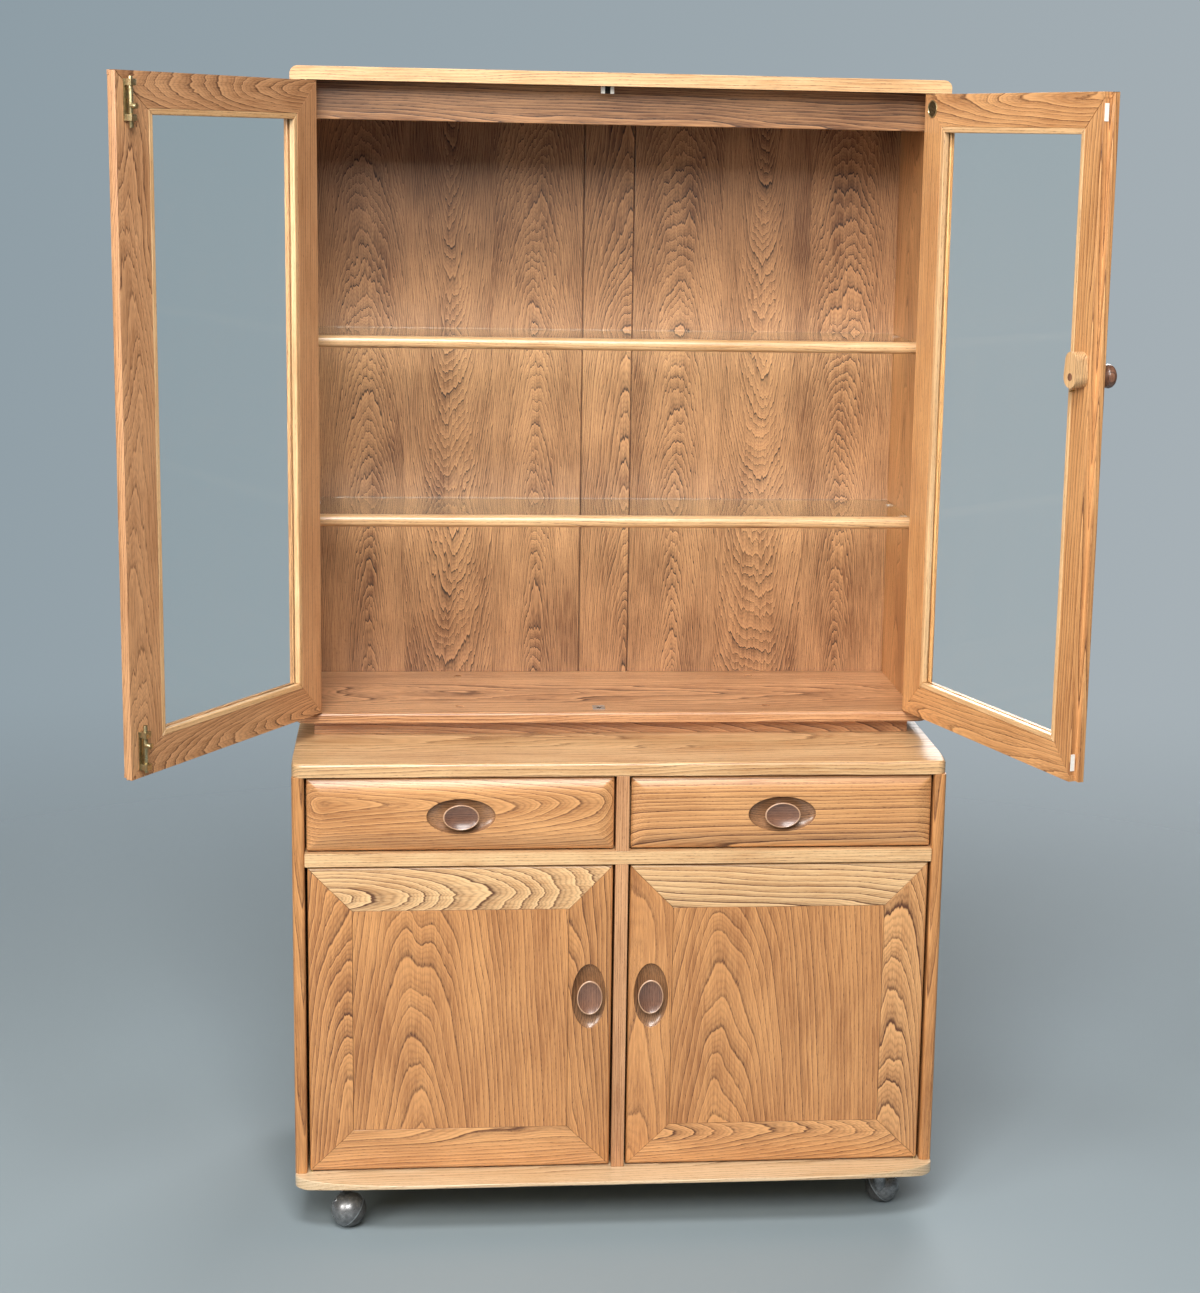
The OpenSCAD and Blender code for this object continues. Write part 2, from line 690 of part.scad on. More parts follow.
module glazed_frame(side) color(elm) glazed_place(side) {
    w = door_width(side);
    difference() {
        mitred_frame(w, glazed_h, hinge_full, lock_full(side), rail_full, door_t, 0);
        hinge_rounding(glazed_h);
        pin_sockets(glazed_h, pin_in);
        translate([hinge_stile_w, glass_seat, glazed_rail_w])
            cube([w - hinge_stile_w - lock_full(side) + bead_w, door_t, glazed_h - 2 * glazed_rail_w]);
        if (side < 0) translate([w - lap, -1, -1]) cube([lap + 1, lip_t + lap_play + 1, glazed_h + 2]);
        if (side > 0) translate([w - lap, lip_t, -1]) cube([lap + 1, door_t, glazed_h + 2]);
        if (side > 0) translate([turn_x, -1, turn_z]) rotate([-90, 0, 0])
            cylinder(r = spindle_r + running, h = door_t + 2);
    }
}

glass_play = 0.5;
module glazed_pane(side) color(clear) glazed_place(side)
    translate([hinge_stile_w + glass_play, glass_seat, glazed_rail_w + glass_play])
        cube([door_width(side) - hinge_stile_w - lock_full(side) + bead_w - 2 * glass_play, door_glass_t,
            glazed_h - 2 * glazed_rail_w - 2 * glass_play]);

module glazed_beads(side) color(elm) glazed_place(side)
    translate([hinge_stile_w, glass_seat + door_glass_t, glazed_rail_w])
        mitred_frame(door_width(side) - hinge_stile_w - lock_full(side) + bead_w,
            glazed_h - 2 * glazed_rail_w, bead_w, bead_w, bead_w,
            door_t - glass_seat - door_glass_t, 0);

// Bolts on the left door. Each is drawn upright for the top and turned over for the bottom
bolt_u = left_glazed_w - bolt_in;
bolt_off = bolt_y - door_inner;
plate_w = 14;
guide_w = 2 * bolt_r + 5;
bolt_tip = 7;
guide_l = 8;
plate_in = 10;
bolt_l = plate_in + bolt_plate_l + bolt_travel - bolt_tip - guide_l / 2;
knob_drop = 42;
knob_l = 9;
knob_r = 3.5;
module bolt_place(end) glazed_place(-1)
    translate([bolt_u, door_t, end > 0 ? glazed_h : 0]) mirror([0, 0, end > 0 ? 0 : 1]) children();

module left_bolt_plates() color(brass) for (end = [-1, 1]) bolt_place(end) difference() {
    union() {
        translate([-plate_w / 2, 0, -bolt_plate_l - plate_in]) cube([plate_w, 1.5, bolt_plate_l]);
        for (z = [-plate_in - guide_l, -bolt_plate_l - plate_in]) translate([-guide_w / 2, 0, z])
            cube([guide_w, bolt_off + bolt_r + 2, guide_l]);
    }
    translate([0, bolt_off, -bolt_plate_l - 20]) cylinder(r = bolt_r + running, h = bolt_plate_l + 30);
}

module door_bolt(end) color(brass) bolt_place(end) {
    translate([0, bolt_off, -bolt_tip - bolt_l]) cylinder(r = bolt_r, h = bolt_l);
    translate([0, bolt_off, -knob_drop]) rotate([-90, 0, 0]) cylinder(r = knob_r, h = knob_l);
}

// Fittings on the right door: a plain disc, the stop pin under the turn button, edge buffers
disc_r = 12;
module right_brass_fittings() color(brass) glazed_place(1) {
    translate([21, door_t, glazed_h - 20]) rotate([-90, 0, 0]) cylinder(r = disc_r, h = 1.2);
    translate([turn_x - 14, door_t, turn_z - 19]) rotate([-90, 0, 0]) cylinder(r = 1.5, h = 8);
}

buffer_t = 0.8;
module right_edge_buffers() color(white) glazed_place(1)
    for (z = [25, glazed_h - 25]) translate([left_glazed_w, lip_t + 2.5, z - 11])
        cube([buffer_t, 6, 22]);

// Turning knob with its spindle, lying along the door's thickness
knob_gap = 0.3;
module turning_knob() color(dark_wood) glazed_place(1) translate([turn_x, 0, turn_z]) rotate([-90, 0, 0]) {
    r = turn_r;
    face = [for (a = [0:15:90]) [r * cos(a), -turn_out + 9 - 9 * sin(a)]];
    translate([0, 0, -knob_gap]) rotate_extrude($fn = 96)
        polygon(concat([[0, 0], [0.55 * r, 0], [0.45 * r, -5], [0.6 * r, -10], [0.92 * r, -15]], face));
    translate([0, 0, -2]) cylinder(r = spindle_r, h = door_t + knob_gap + button_t + 2);
}

// Wooden button that turns behind the left door's frame; it points up when unlatched
button_r = 14;
button_tip_r = 12;
module turn_button() color(elm) glazed_place(1) translate([turn_x, door_t + knob_gap, turn_z])
    rotate([-90, 0, 0]) difference() {
        rise = button_reach - button_tip_r;
        lean = asin((button_r - button_tip_r) / rise);
        union() {
            cylinder(r = button_r, h = button_t, $fn = 96);
            translate([0, -rise, 0]) cylinder(r = button_tip_r, h = button_t, $fn = 96);
            linear_extrude(button_t) polygon([
                [button_r * cos(lean), -button_r * sin(lean)],
                [button_tip_r * cos(lean), -rise - button_tip_r * sin(lean)],
                [-button_tip_r * cos(lean), -rise - button_tip_r * sin(lean)],
                [-button_r * cos(lean), -button_r * sin(lean)]]);
        }
        translate([0, 0, -1]) cylinder(r = spindle_r, h = button_t + 2);
    }

// Castors: a plate under the board, a hood that swivels and a ball that rolls on a leaning axle

ball_r = ball_d / 2;
plate_r = 19;
castor_plate_t = 2.5;
socket_r = swivel_r + 3;
socket_l = 10;
swivel_l = 9;
neck_r = 9;
neck_top = castor_h - castor_plate_t - 1;
seam_gap = 0.5;
axle_r = 2.5;
axle_l = 6;
castor_x = half_w - castor_in_x;
// Each castor's place and the way it happens to be turned
castors = [[-castor_x, base_front + castor_in_front, 14], [castor_x, base_front + castor_in_front, 157],
    [-castor_x, base_back - castor_in_back, 205], [castor_x, base_back - castor_in_back, 130]];

module castor_plates() color(steel) for (c = castors) translate([c[0], c[1], castor_h]) difference() {
    union() {
        translate([0, 0, -castor_plate_t]) cylinder(r = plate_r, h = castor_plate_t);
        cylinder(r = socket_r, h = socket_l);
    }
    translate([0, 0, -castor_plate_t - 1])
        cylinder(r = swivel_r + running, h = castor_plate_t + swivel_l + 1);
}

module castor_place(i) translate([castors[i][0], castors[i][1], 0]) rotate([0, 0, castors[i][2]]) children();

// Frame of a castor's ball: the axle lies along Z and points to the rolling side
module axle_frame() translate([0, -trail, ball_r]) rotate([0, 90 + axle_lean, 0]) children();

module castor_hood(i) color(grey) castor_place(i) {
    axle_frame() difference() {
        sphere(r = ball_r, $fn = 96);
        translate([0, 0, seam - seam_gap]) cylinder(r = ball_d, h = ball_d);
    }
    rotate_extrude() polygon([[0, ball_r - 4], [3, ball_r - 4], [neck_r, ball_r + 8], [neck_r, neck_top],
        [swivel_r, neck_top], [swivel_r, castor_h + swivel_l - 1], [0, castor_h + swivel_l - 1]]);
    axle_frame() translate([0, 0, seam - 3]) cylinder(r = axle_r, h = 3 + axle_l);
}

module castor_ball(i) color(grey) castor_place(i) axle_frame() difference() {
    sphere(r = ball_r, $fn = 96);
    translate([0, 0, seam - ball_d]) cylinder(r = ball_d, h = ball_d);
    translate([0, 0, seam - 1]) cylinder(r = axle_r + running, h = axle_l + 2);
}

base_bottom_board();
base_left_side();
base_right_side();
base_top_board();
base_partition();
drawer_rail();
base_back_panel();
drawer_runners();
cupboard_shelves();
shelf_pegs();
cupboard_catches();
castor_plates();
upper_plinth();
upper_bottom_board();
upper_left_side();
upper_right_side();
upper_top_board();
upper_head_rail();
upper_back_boards();
shelf_glass();
shelf_lippings();
bolt_keeps();
screw_plugs();
hinge_pins();
cupboard_frame(-1);  // left_cupboard_frame
cupboard_panel(-1);  // left_cupboard_panel
cupboard_pull(-1);  // left_cupboard_pull
cupboard_frame(1);  // right_cupboard_frame
cupboard_panel(1);  // right_cupboard_panel
cupboard_pull(1);  // right_cupboard_pull
drawer_front(-1);  // left_drawer_front
drawer_walls(-1);  // left_drawer_walls
drawer_bottom(-1);  // left_drawer_bottom
drawer_pull(-1);  // left_drawer_pull
drawer_front(1);  // right_drawer_front
drawer_walls(1);  // right_drawer_walls
drawer_bottom(1);  // right_drawer_bottom
drawer_pull(1);  // right_drawer_pull
glazed_frame(-1);  // left_glazed_frame
glazed_pane(-1);  // left_glazed_pane
glazed_beads(-1);  // left_glazed_beads
left_bolt_plates();
door_bolt(1);  // top_bolt
door_bolt(-1);  // bottom_bolt
glazed_frame(1);  // right_glazed_frame
glazed_pane(1);  // right_glazed_pane
glazed_beads(1);  // right_glazed_beads
right_brass_fittings();
right_edge_buffers();
turning_knob();
turn_button();
castor_hood(0);  // castor_hood_front_left
castor_hood(1);  // castor_hood_front_right
castor_hood(2);  // castor_hood_rear_left
castor_hood(3);  // castor_hood_rear_right
castor_ball(0);  // castor_ball_front_left
castor_ball(1);  // castor_ball_front_right
castor_ball(2);  // castor_ball_rear_left
castor_ball(3);  // castor_ball_rear_right
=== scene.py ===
"""Looks of a glazed display cabinet on a low cupboard base with two drawers and ball castors.

Everything is in metres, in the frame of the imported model: X runs to the right, the front faces -Y and
Z is up. Each wooden board is a piece of its own, so that the grain runs along it, and each has its own
cut of elm.
"""

import json
import logging
import math
from collections.abc import Callable, Iterable, Iterator, Sequence
from dataclasses import asdict, dataclass, fields
from enum import Enum

import bmesh
import bpy
from mathutils import Matrix, Vector


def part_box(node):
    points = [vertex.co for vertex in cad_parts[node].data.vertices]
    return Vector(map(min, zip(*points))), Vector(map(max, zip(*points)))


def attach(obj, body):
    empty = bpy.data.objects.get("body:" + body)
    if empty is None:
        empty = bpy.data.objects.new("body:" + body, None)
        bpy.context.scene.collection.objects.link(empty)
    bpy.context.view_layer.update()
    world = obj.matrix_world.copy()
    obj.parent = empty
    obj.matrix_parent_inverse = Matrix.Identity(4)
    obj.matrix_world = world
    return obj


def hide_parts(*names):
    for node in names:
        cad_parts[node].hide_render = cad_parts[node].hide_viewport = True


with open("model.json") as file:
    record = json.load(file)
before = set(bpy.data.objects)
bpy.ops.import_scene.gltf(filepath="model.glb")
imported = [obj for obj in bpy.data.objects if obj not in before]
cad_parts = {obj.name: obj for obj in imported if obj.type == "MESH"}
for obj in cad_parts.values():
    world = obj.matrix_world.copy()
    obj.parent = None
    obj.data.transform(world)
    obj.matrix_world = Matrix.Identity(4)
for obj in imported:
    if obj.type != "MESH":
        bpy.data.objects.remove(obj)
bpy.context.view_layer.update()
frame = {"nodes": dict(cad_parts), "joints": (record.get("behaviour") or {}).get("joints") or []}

log = logging.getLogger("cabinet")

MM = 0.001
SIDES = ("left", "right")
RIGHT, BACK, UP = Vector((1, 0, 0)), Vector((0, 1, 0)), Vector((0, 0, 1))
SMOOTH_BELOW = math.radians(40)
TINY = 1e-6


# Meshes


def sharp(edges: Iterable[bmesh.types.BMEdge], degrees: float) -> list[bmesh.types.BMEdge]:
    """Picks the edges whose two faces meet at more than an angle."""
    return [e for e in edges if e.calc_face_angle(0) > math.radians(degrees)]


class Solid:
    """A closed mesh while it is being shaped. Each shaping gives the solid back."""

    def __init__(self) -> None:
        """Starts with an empty mesh."""
        self.bm = bmesh.new()

    @classmethod
    def block(cls, low: Sequence[float], high: Sequence[float]) -> "Solid":
        """Makes a rectangular block from its lowest and its highest corner."""
        solid, low, high = cls(), Vector(low), Vector(high)
        scale = Matrix.Diagonal((*(high - low), 1.0))
        bmesh.ops.create_cube(solid.bm, size=1.0, matrix=Matrix.Translation((low + high) / 2) @ scale)
        return solid

    @classmethod
    def turned(cls, profile: Sequence[tuple[float, float]], steps: int) -> "Solid":
        """Turns a profile about the Z axis, as on a lathe.

        Args:
            profile: Pairs of radius and height, from axis to axis.
            steps: Number of steps in the full turn.

        Returns:
            The new solid.
        """
        solid = cls()
        verts = [solid.bm.verts.new((radius, 0, height)) for radius, height in profile]
        edges = [solid.bm.edges.new(pair) for pair in zip(verts, verts[1:])]
        bmesh.ops.spin(solid.bm, geom=verts + edges, cent=(0, 0, 0), axis=(0, 0, 1), dvec=(0, 0, 0),
                       angle=math.tau, steps=steps, use_merge=True, use_duplicate=False)
        return solid.mended()

    @classmethod
    def rod(cls, radius: float, low: float, high: float, at: Sequence[float], steps: int) -> "Solid":
        """Makes an upright rod between two heights, at a place on the floor plan."""
        rod = cls.turned([(0, low), (radius, low), (radius, high), (0, high)], steps)
        return rod.placed(Matrix.Translation((*at, 0)))

    @classmethod
    def ball(cls, radii: Vector, centre: Vector, steps: int) -> "Solid":
        """Makes an ellipsoid from half of its size along each axis and its middle."""
        solid = cls()
        matrix = Matrix.Translation(centre) @ Matrix.Diagonal((*radii, 1.0))
        bmesh.ops.create_uvsphere(solid.bm, u_segments=steps, v_segments=steps // 2, radius=1.0,
                                  matrix=matrix)
        return solid

    def mended(self) -> "Solid":
        """Merges doubles, then points all faces outwards."""
        bmesh.ops.remove_doubles(self.bm, verts=self.bm.verts, dist=TINY)
        bmesh.ops.recalc_face_normals(self.bm, faces=self.bm.faces)
        return self

    def placed(self, matrix: Matrix) -> "Solid":
        """Moves the whole mesh by a matrix."""
        bmesh.ops.transform(self.bm, matrix=matrix, verts=self.bm.verts)
        return self

    def edges_at(self, test: Callable[[Vector], bool], axis: int = 0, over: float = -1.0
                 ) -> list[bmesh.types.BMEdge]:
        """Lists the edges with both ends where a test holds.

        Args:
            test: What each end's place has to pass.
            axis: The axis along which an edge's reach counts.
            over: The reach that an edge has to exceed.

        Returns:
            The edges.
        """
        return [e for e in self.bm.edges if abs(e.verts[0].co[axis] - e.verts[1].co[axis]) > over
                and all(test(v.co) for v in e.verts)]

    def bevelled(self, edges: Iterable[bmesh.types.BMEdge], width: float, steps: int) -> "Solid":
        """Rounds the given edges over a width, in a number of steps."""
        bmesh.ops.bevel(self.bm, geom=list(edges), offset=width, offset_type="OFFSET", segments=steps,
                        profile=0.5, affect="EDGES", clamp_overlap=True, material=-1)
        return self

    def softened(self, width: float, steps: int = 2, limit: float = 30.0) -> "Solid":
        """Rounds every edge that is sharper than a limit in degrees."""
        return self.bevelled(sharp(self.bm.edges, limit), width, steps)

    def sliced(self, point: Vector, outward: Vector, keep_all: bool = False) -> "Solid":
        """Cuts along a plane and closes the cut.

        Args:
            point: A point of the plane.
            outward: The plane's normal, to the side that falls away.
            keep_all: Whether both sides stay and only the line is drawn.

        Returns:
            This solid.
        """
        geom = self.bm.verts[:] + self.bm.edges[:] + self.bm.faces[:]
        cut = bmesh.ops.bisect_plane(self.bm, geom=geom, dist=TINY, plane_co=point, plane_no=outward,
                                     clear_outer=not keep_all)
        if not keep_all:
            rim = [e for e in cut["geom_cut"] if isinstance(e, bmesh.types.BMEdge)]
            bmesh.ops.edgeloop_fill(self.bm, edges=rim)
        return self

    def marked(self, test: Callable[[Vector, Vector], bool]) -> "Solid":
        """Marks for the second finish the faces whose middle and normal pass a test."""
        for face in self.bm.faces:
            if test(face.calc_center_median(), face.normal):
                face.material_index = 1
        return self

    def draft(self, name: str) -> bpy.types.Object:
        """Makes a plain object of the mesh, which is used up."""
        mesh = bpy.data.meshes.new(name)
        self.bm.to_mesh(mesh)
        self.bm.free()
        piece = bpy.data.objects.new(name, mesh)
        bpy.context.scene.collection.objects.link(piece)
        return piece

    def carved(self, cutter: "Solid") -> "Solid":
        """Takes another solid's space out of this one."""
        body, tool = self.draft("body"), cutter.draft("cutter")
        cut = body.modifiers.new("cut", "BOOLEAN")
        cut.operation, cut.solver, cut.object = "DIFFERENCE", "EXACT", tool
        result = bpy.data.meshes.new_from_object(body.evaluated_get(bpy.context.evaluated_depsgraph_get()))
        self.bm = bmesh.new()
        self.bm.from_mesh(result)
        for mesh in (result, body.data, tool.data):
            bpy.data.meshes.remove(mesh)
        return self

    def piece(self, name: str, finish: bpy.types.Material, body: str, slot: str, node: str,
              second: bpy.types.Material | None = None) -> None:
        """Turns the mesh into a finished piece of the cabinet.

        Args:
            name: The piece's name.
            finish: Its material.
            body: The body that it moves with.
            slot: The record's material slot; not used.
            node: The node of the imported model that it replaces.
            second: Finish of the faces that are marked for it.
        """
        piece = self.mended().draft(name)
        piece.data.shade_smooth()
        piece.data.set_sharp_from_angle(angle=SMOOTH_BELOW)
        for material in filter(None, (finish, second)):
            piece.data.materials.append(material)
        piece.modifiers.new("even shading", "WEIGHTED_NORMAL").keep_sharp = True
        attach(piece, body)
        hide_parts(node)
        log.info("%s: %d faces on %s", name, len(piece.data.polygons), body)


@dataclass(frozen=True)
class Box:
    """An upright box, from its lowest to its highest corner."""

    low: Vector
    high: Vector

    @property
    def size(self) -> Vector:
        """Length along X, Y and Z."""
        return self.high - self.low

    @property
    def middle(self) -> Vector:
        """The middle point."""
        return (self.low + self.high) / 2

    def filled(self) -> Solid:
        """Makes a block that fills the box."""
        return Solid.block(self.low, self.high)


def box_of(node: str) -> Box:
    """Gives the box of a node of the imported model."""
    return Box(*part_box(node))


def loose_boxes(node: str, turn: Matrix = Matrix()) -> list[Box]:
    """Gives a box for each separate solid of a node.

    Args:
        node: The node's name.
        turn: Takes the node into the drawing in which it is measured.

    Returns:
        The boxes, sorted by their lowest corners.
    """
    bm = bmesh.new()
    bm.from_mesh(frame["nodes"][node].data)
    bm.transform(turn)
    bmesh.ops.remove_doubles(bm, verts=bm.verts, dist=TINY)
    waiting, boxes = set(bm.verts), []
    while waiting:
        found, edge = [], [waiting.pop()]
        while edge:
            vert = edge.pop()
            found.append(vert.co.copy())
            near = {e.other_vert(vert) for e in vert.link_edges} & waiting
            waiting -= near
            edge.extend(near)
        boxes.append(Box(Vector(map(min, *found)), Vector(map(max, *found))))
    bm.free()
    return sorted(boxes, key=lambda box: tuple(round(x, 4) for x in box.low))


def joint_named(name: str) -> dict:
    """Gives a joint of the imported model."""
    return next(joint for joint in frame["joints"] if joint["name"] == name)


# Shader nodes


@dataclass(frozen=True)
class Value:
    """The result of a shader node. What is reckoned with it becomes Math nodes."""

    graph: "Graph"
    socket: bpy.types.NodeSocket

    def __add__(self, other: "Value | float") -> "Value":
        """Adds."""
        return self.graph.maths("ADD", self, other)

    def __sub__(self, other: "Value | float") -> "Value":
        """Subtracts."""
        return self.graph.maths("SUBTRACT", self, other)

    def __mul__(self, other: "Value | float") -> "Value":
        """Multiplies."""
        return self.graph.maths("MULTIPLY", self, other)

    def __truediv__(self, other: "Value | float") -> "Value":
        """Divides."""
        return self.graph.maths("DIVIDE", self, other)

    def __pow__(self, power: float) -> "Value":
        """Raises to a power."""
        return self.graph.maths("POWER", self, power)


class Graph:
    """Writes shader nodes into a tree."""

    def __init__(self, tree: bpy.types.NodeTree) -> None:
        """Keeps the tree that the nodes go to."""
        self.tree = tree

    def feed(self, socket: bpy.types.NodeSocket, value: object) -> None:
        """Links a result to an input, or sets the input to a plain value."""
        source = value.socket if isinstance(value, Value) else value
        if isinstance(source, bpy.types.NodeSocket):
            self.tree.links.new(source, socket)
        else:
            socket.default_value = source

    def node(self, kind: str, inputs: dict | None = None, **settings: object) -> bpy.types.Node:
        """Adds a shader node.

        Args:
            kind: The node's type.
            inputs: A value or a result for each input, by name or number.
            settings: The node's own settings.

        Returns:
            The new node.
        """
        node = self.tree.nodes.new(f"ShaderNode{kind}")
        for key, value in settings.items():
            setattr(node, key, value)
        for key, value in (inputs or {}).items():
            self.feed(node.inputs[key], value)
        return node

    def value(self, kind: str, inputs: dict, output: int | str = 0, **settings: object) -> Value:
        """Adds a shader node and gives one of its results."""
        return Value(self, self.node(kind, inputs, **settings).outputs[output])

    def maths(self, operation: str, *values: object) -> Value:
        """Adds a Math node and gives its result."""
        return self.value("Math", dict(enumerate(values)), operation=operation)

    def clamped(self, value: Value) -> Value:
        """Keeps a value between 0 and 1."""
        return self.value("Clamp", {0: value})

    def place(self) -> Value:
        """Gives the place on the object."""
        return self.value("TexCoord", {}, "Object")

    def noise(self, where: Value, detail: float, scale: float = 1.0) -> Value:
        """Adds a Noise Texture and gives its value, about 0.5 on average."""
        return self.value("TexNoise", {"Vector": where, "Scale": scale, "Detail": detail})

    def patches(self, where: Value, lengths: Sequence[float], detail: float) -> Value:
        """Gives noise whose patches have a length along each axis."""
        shrunk = self.value("VectorMath", {0: where, 1: tuple(lengths)}, operation="DIVIDE")
        return self.noise(shrunk, detail)

    def ramp(self, value: Value, *stops: tuple[float, float]) -> Value:
        """Adds a grey Color Ramp.

        Args:
            value: What it reads.
            stops: Pairs of place and brightness.

        Returns:
            The ramp's result.
        """
        node = self.node("ValToRGB", {"Fac": value})
        points = node.color_ramp.elements
        while len(points) < len(stops):
            points.new(0.5)
        for point, (place, level) in zip(points, stops):
            point.position = place
            point.color = (level, level, level, 1)
        return Value(self, node.outputs[0])

    def mix(self, share: Value, a: object, b: object) -> Value:
        """Mixes two colours."""
        return self.value("Mix", {0: share, 6: a, 7: b}, 2, data_type="RGBA")

    def surface(self, share: Value, plain: bpy.types.Node, other: bpy.types.Node,
                output: str = "Material Output") -> None:
        """Mixes a share of one shader into another and puts out the result."""
        both = self.node("MixShader", {0: share, 1: plain.outputs[0], 2: other.outputs[0]})
        self.feed(self.tree.nodes[output].inputs["Surface"], both.outputs[0])


def new_material(name: str, plain: dict[str, object]
                 ) -> tuple[bpy.types.Material, Graph, bpy.types.Node]:
    """Makes a material.

    Args:
        name: Its name.
        plain: Inputs of its shader that are the same all over.

    Returns:
        The material, a writer for its nodes and its shader.
    """
    material = bpy.data.materials.new(name)
    material.use_nodes = True
    shader = material.node_tree.nodes["Principled BSDF"]
    for key, value in plain.items():
        shader.inputs[key].default_value = value
    return material, Graph(material.node_tree), shader


class Effect(Graph):
    """A node group that makes a colour, a roughness and a height from a place in millimetres."""

    def __init__(self, name: str, numbers: Sequence[str], colours: Sequence[str]) -> None:
        """Makes the group with its inputs and outputs.

        Args:
            name: The group's name.
            numbers: Names of the inputs that are numbers.
            colours: Names of the inputs that are colours.
        """
        super().__init__(bpy.data.node_groups.new(name, "ShaderNodeTree"))
        inputs = {"Place": "Vector", **dict.fromkeys(numbers, "Float"), **dict.fromkeys(colours, "Color")}
        outputs = {"Colour": "Color", "Roughness": "Float", "Height": "Float"}
        for way, sockets in (("INPUT", inputs), ("OUTPUT", outputs)):
            for key, kind in sockets.items():
                self.tree.interface.new_socket(name=key, in_out=way, socket_type=f"NodeSocket{kind}")
        self.start = self.tree.nodes.new("NodeGroupInput")
        self.end = self.tree.nodes.new("NodeGroupOutput")

    def given(self, *keys: str) -> list[Value]:
        """Gives the named inputs."""
        return [Value(self, self.start.outputs[key]) for key in keys]

    def put_out(self, colour: Value, roughness: Value, height: Value) -> None:
        """Puts out the results."""
        for socket, result in zip(self.end.inputs, (colour, roughness, height)):
            self.feed(socket, result)

    def material(self, name: str, values: dict[str, object], relief: tuple[float, float],
                 plain: dict[str, object], at: Sequence[float] = (0, 0, 0),
                 turn: Matrix = Matrix.Identity(3)) -> bpy.types.Material:
        """Makes a material with this effect.

        Args:
            name: The material's name.
            values: The effect's inputs.
            relief: Strength and height of its bumps.
            plain: Inputs of the shader that are the same all over.
            at: Where the effect's place starts, on the object.
            turn: The effect's axes, on the object.

        Returns:
            The material.
        """
        material, g, shader = new_material(name, plain)
        place = g.value("Mapping", {"Vector": g.place(), "Location": at, "Rotation": turn.to_euler(),
                                    "Scale": (MM, MM, MM)}, vector_type="TEXTURE")
        made = g.node("Group", {"Place": place, **values}, node_tree=self.tree).outputs
        bump = g.value("Bump", {"Height": made["Height"], "Strength": relief[0], "Distance": relief[1]})
        g.feed(shader.inputs["Base Color"], made["Colour"])
        g.feed(shader.inputs["Roughness"], made["Roughness"])
        g.feed(shader.inputs["Normal"], bump)
        return material


# Wood


@dataclass(frozen=True)
class Figure:
    """How the saw met the growth rings in one board. Lengths are in millimetres.

    The pith lies so far across the board and so deep below its show face, and tilts by a slope. A ring is
    so wide. It wanders slowly, zigzags finely and is drawn boldly or not. Veneer is laid in leaves.
    """

    across: float = 0.0
    depth: float = 45.0
    tilt: float = 0.12
    ring: float = 5.0
    wander: float = 9.0
    zigzag: float = 0.5
    bold: float = 0.8
    leaf: float = 5000.0


class Tone(Enum):
    """Colours of the wood: light, warm and the dark lines of the rings."""

    HONEY = ((0.70, 0.338, 0.123), (0.35, 0.135, 0.041), (0.095, 0.028, 0.008))
    GOLD = ((0.79, 0.415, 0.168), (0.45, 0.188, 0.062), (0.105, 0.033, 0.010))
    CREAM = ((0.86, 0.565, 0.29), (0.54, 0.275, 0.108), (0.105, 0.037, 0.012))
    AMBER = ((0.72, 0.385, 0.185), (0.37, 0.158, 0.061), (0.095, 0.031, 0.011))
    # SHADE is the elm of the back boards and the head rail inside the case, darkened as painted shade.
    SHADE = ((0.56, 0.288, 0.132), (0.155, 0.060, 0.024), (0.020, 0.007, 0.004))
    # This tone darkens the screw plugs, and as painted shade the bottoms of the back's grooves.
    STAIN = ((0.30, 0.142, 0.074), (0.125, 0.050, 0.025), (0.035, 0.013, 0.007))
    DARK = ((0.32, 0.150, 0.088), (0.110, 0.043, 0.024), (0.020, 0.008, 0.005))
    # The recess's tone: elm darkened as painted shade in the hollow.
    SCOOP = ((0.45, 0.228, 0.105), (0.19, 0.080, 0.036), (0.035, 0.014, 0.007))
    # The pull's rim: lighter, as wear and as a painted highlight.
    WORN = ((0.60, 0.365, 0.225), (0.48, 0.270, 0.155), (0.16, 0.070, 0.035))
    PALE = ((0.82, 0.62, 0.39), (0.64, 0.42, 0.215), (0.17, 0.070, 0.026))


@dataclass(frozen=True)
class Coat:
    """Weight and roughness of a varnish."""

    weight: float
    roughness: float


SATIN = Coat(0.6, 0.24)
SEED_STEP = 0.731
WOOD_RELIEF = (0.35, 0.4 * MM)
SLOW_WAVES, MID_WAVES, FINE_WAVES = (60, 60, 230), (10, 20, 95), (3, 9, 36)
FIBRES, PORES, CLOUDS = (1.1, 1.1, 40), (0.75, 0.75, 6.5), (48, 48, 190)
RING_LINE = ((0.0, 0.8), (0.02, 1.0), (0.10, 0.78), (0.17, 0.40), (0.42, 0.18), (0.72, 0.04), (0.965, 0.0),
             (1.0, 0.8))
RING_PALE = ((0.0, 0.0), (0.55, 0.0), (0.90, 0.85), (0.96, 1.0), (0.985, 0.0))
FAINT_LINE = ((0.0, 0.6), (0.12, 1.0), (0.45, 0.1), (0.85, 0.0), (1.0, 0.6))


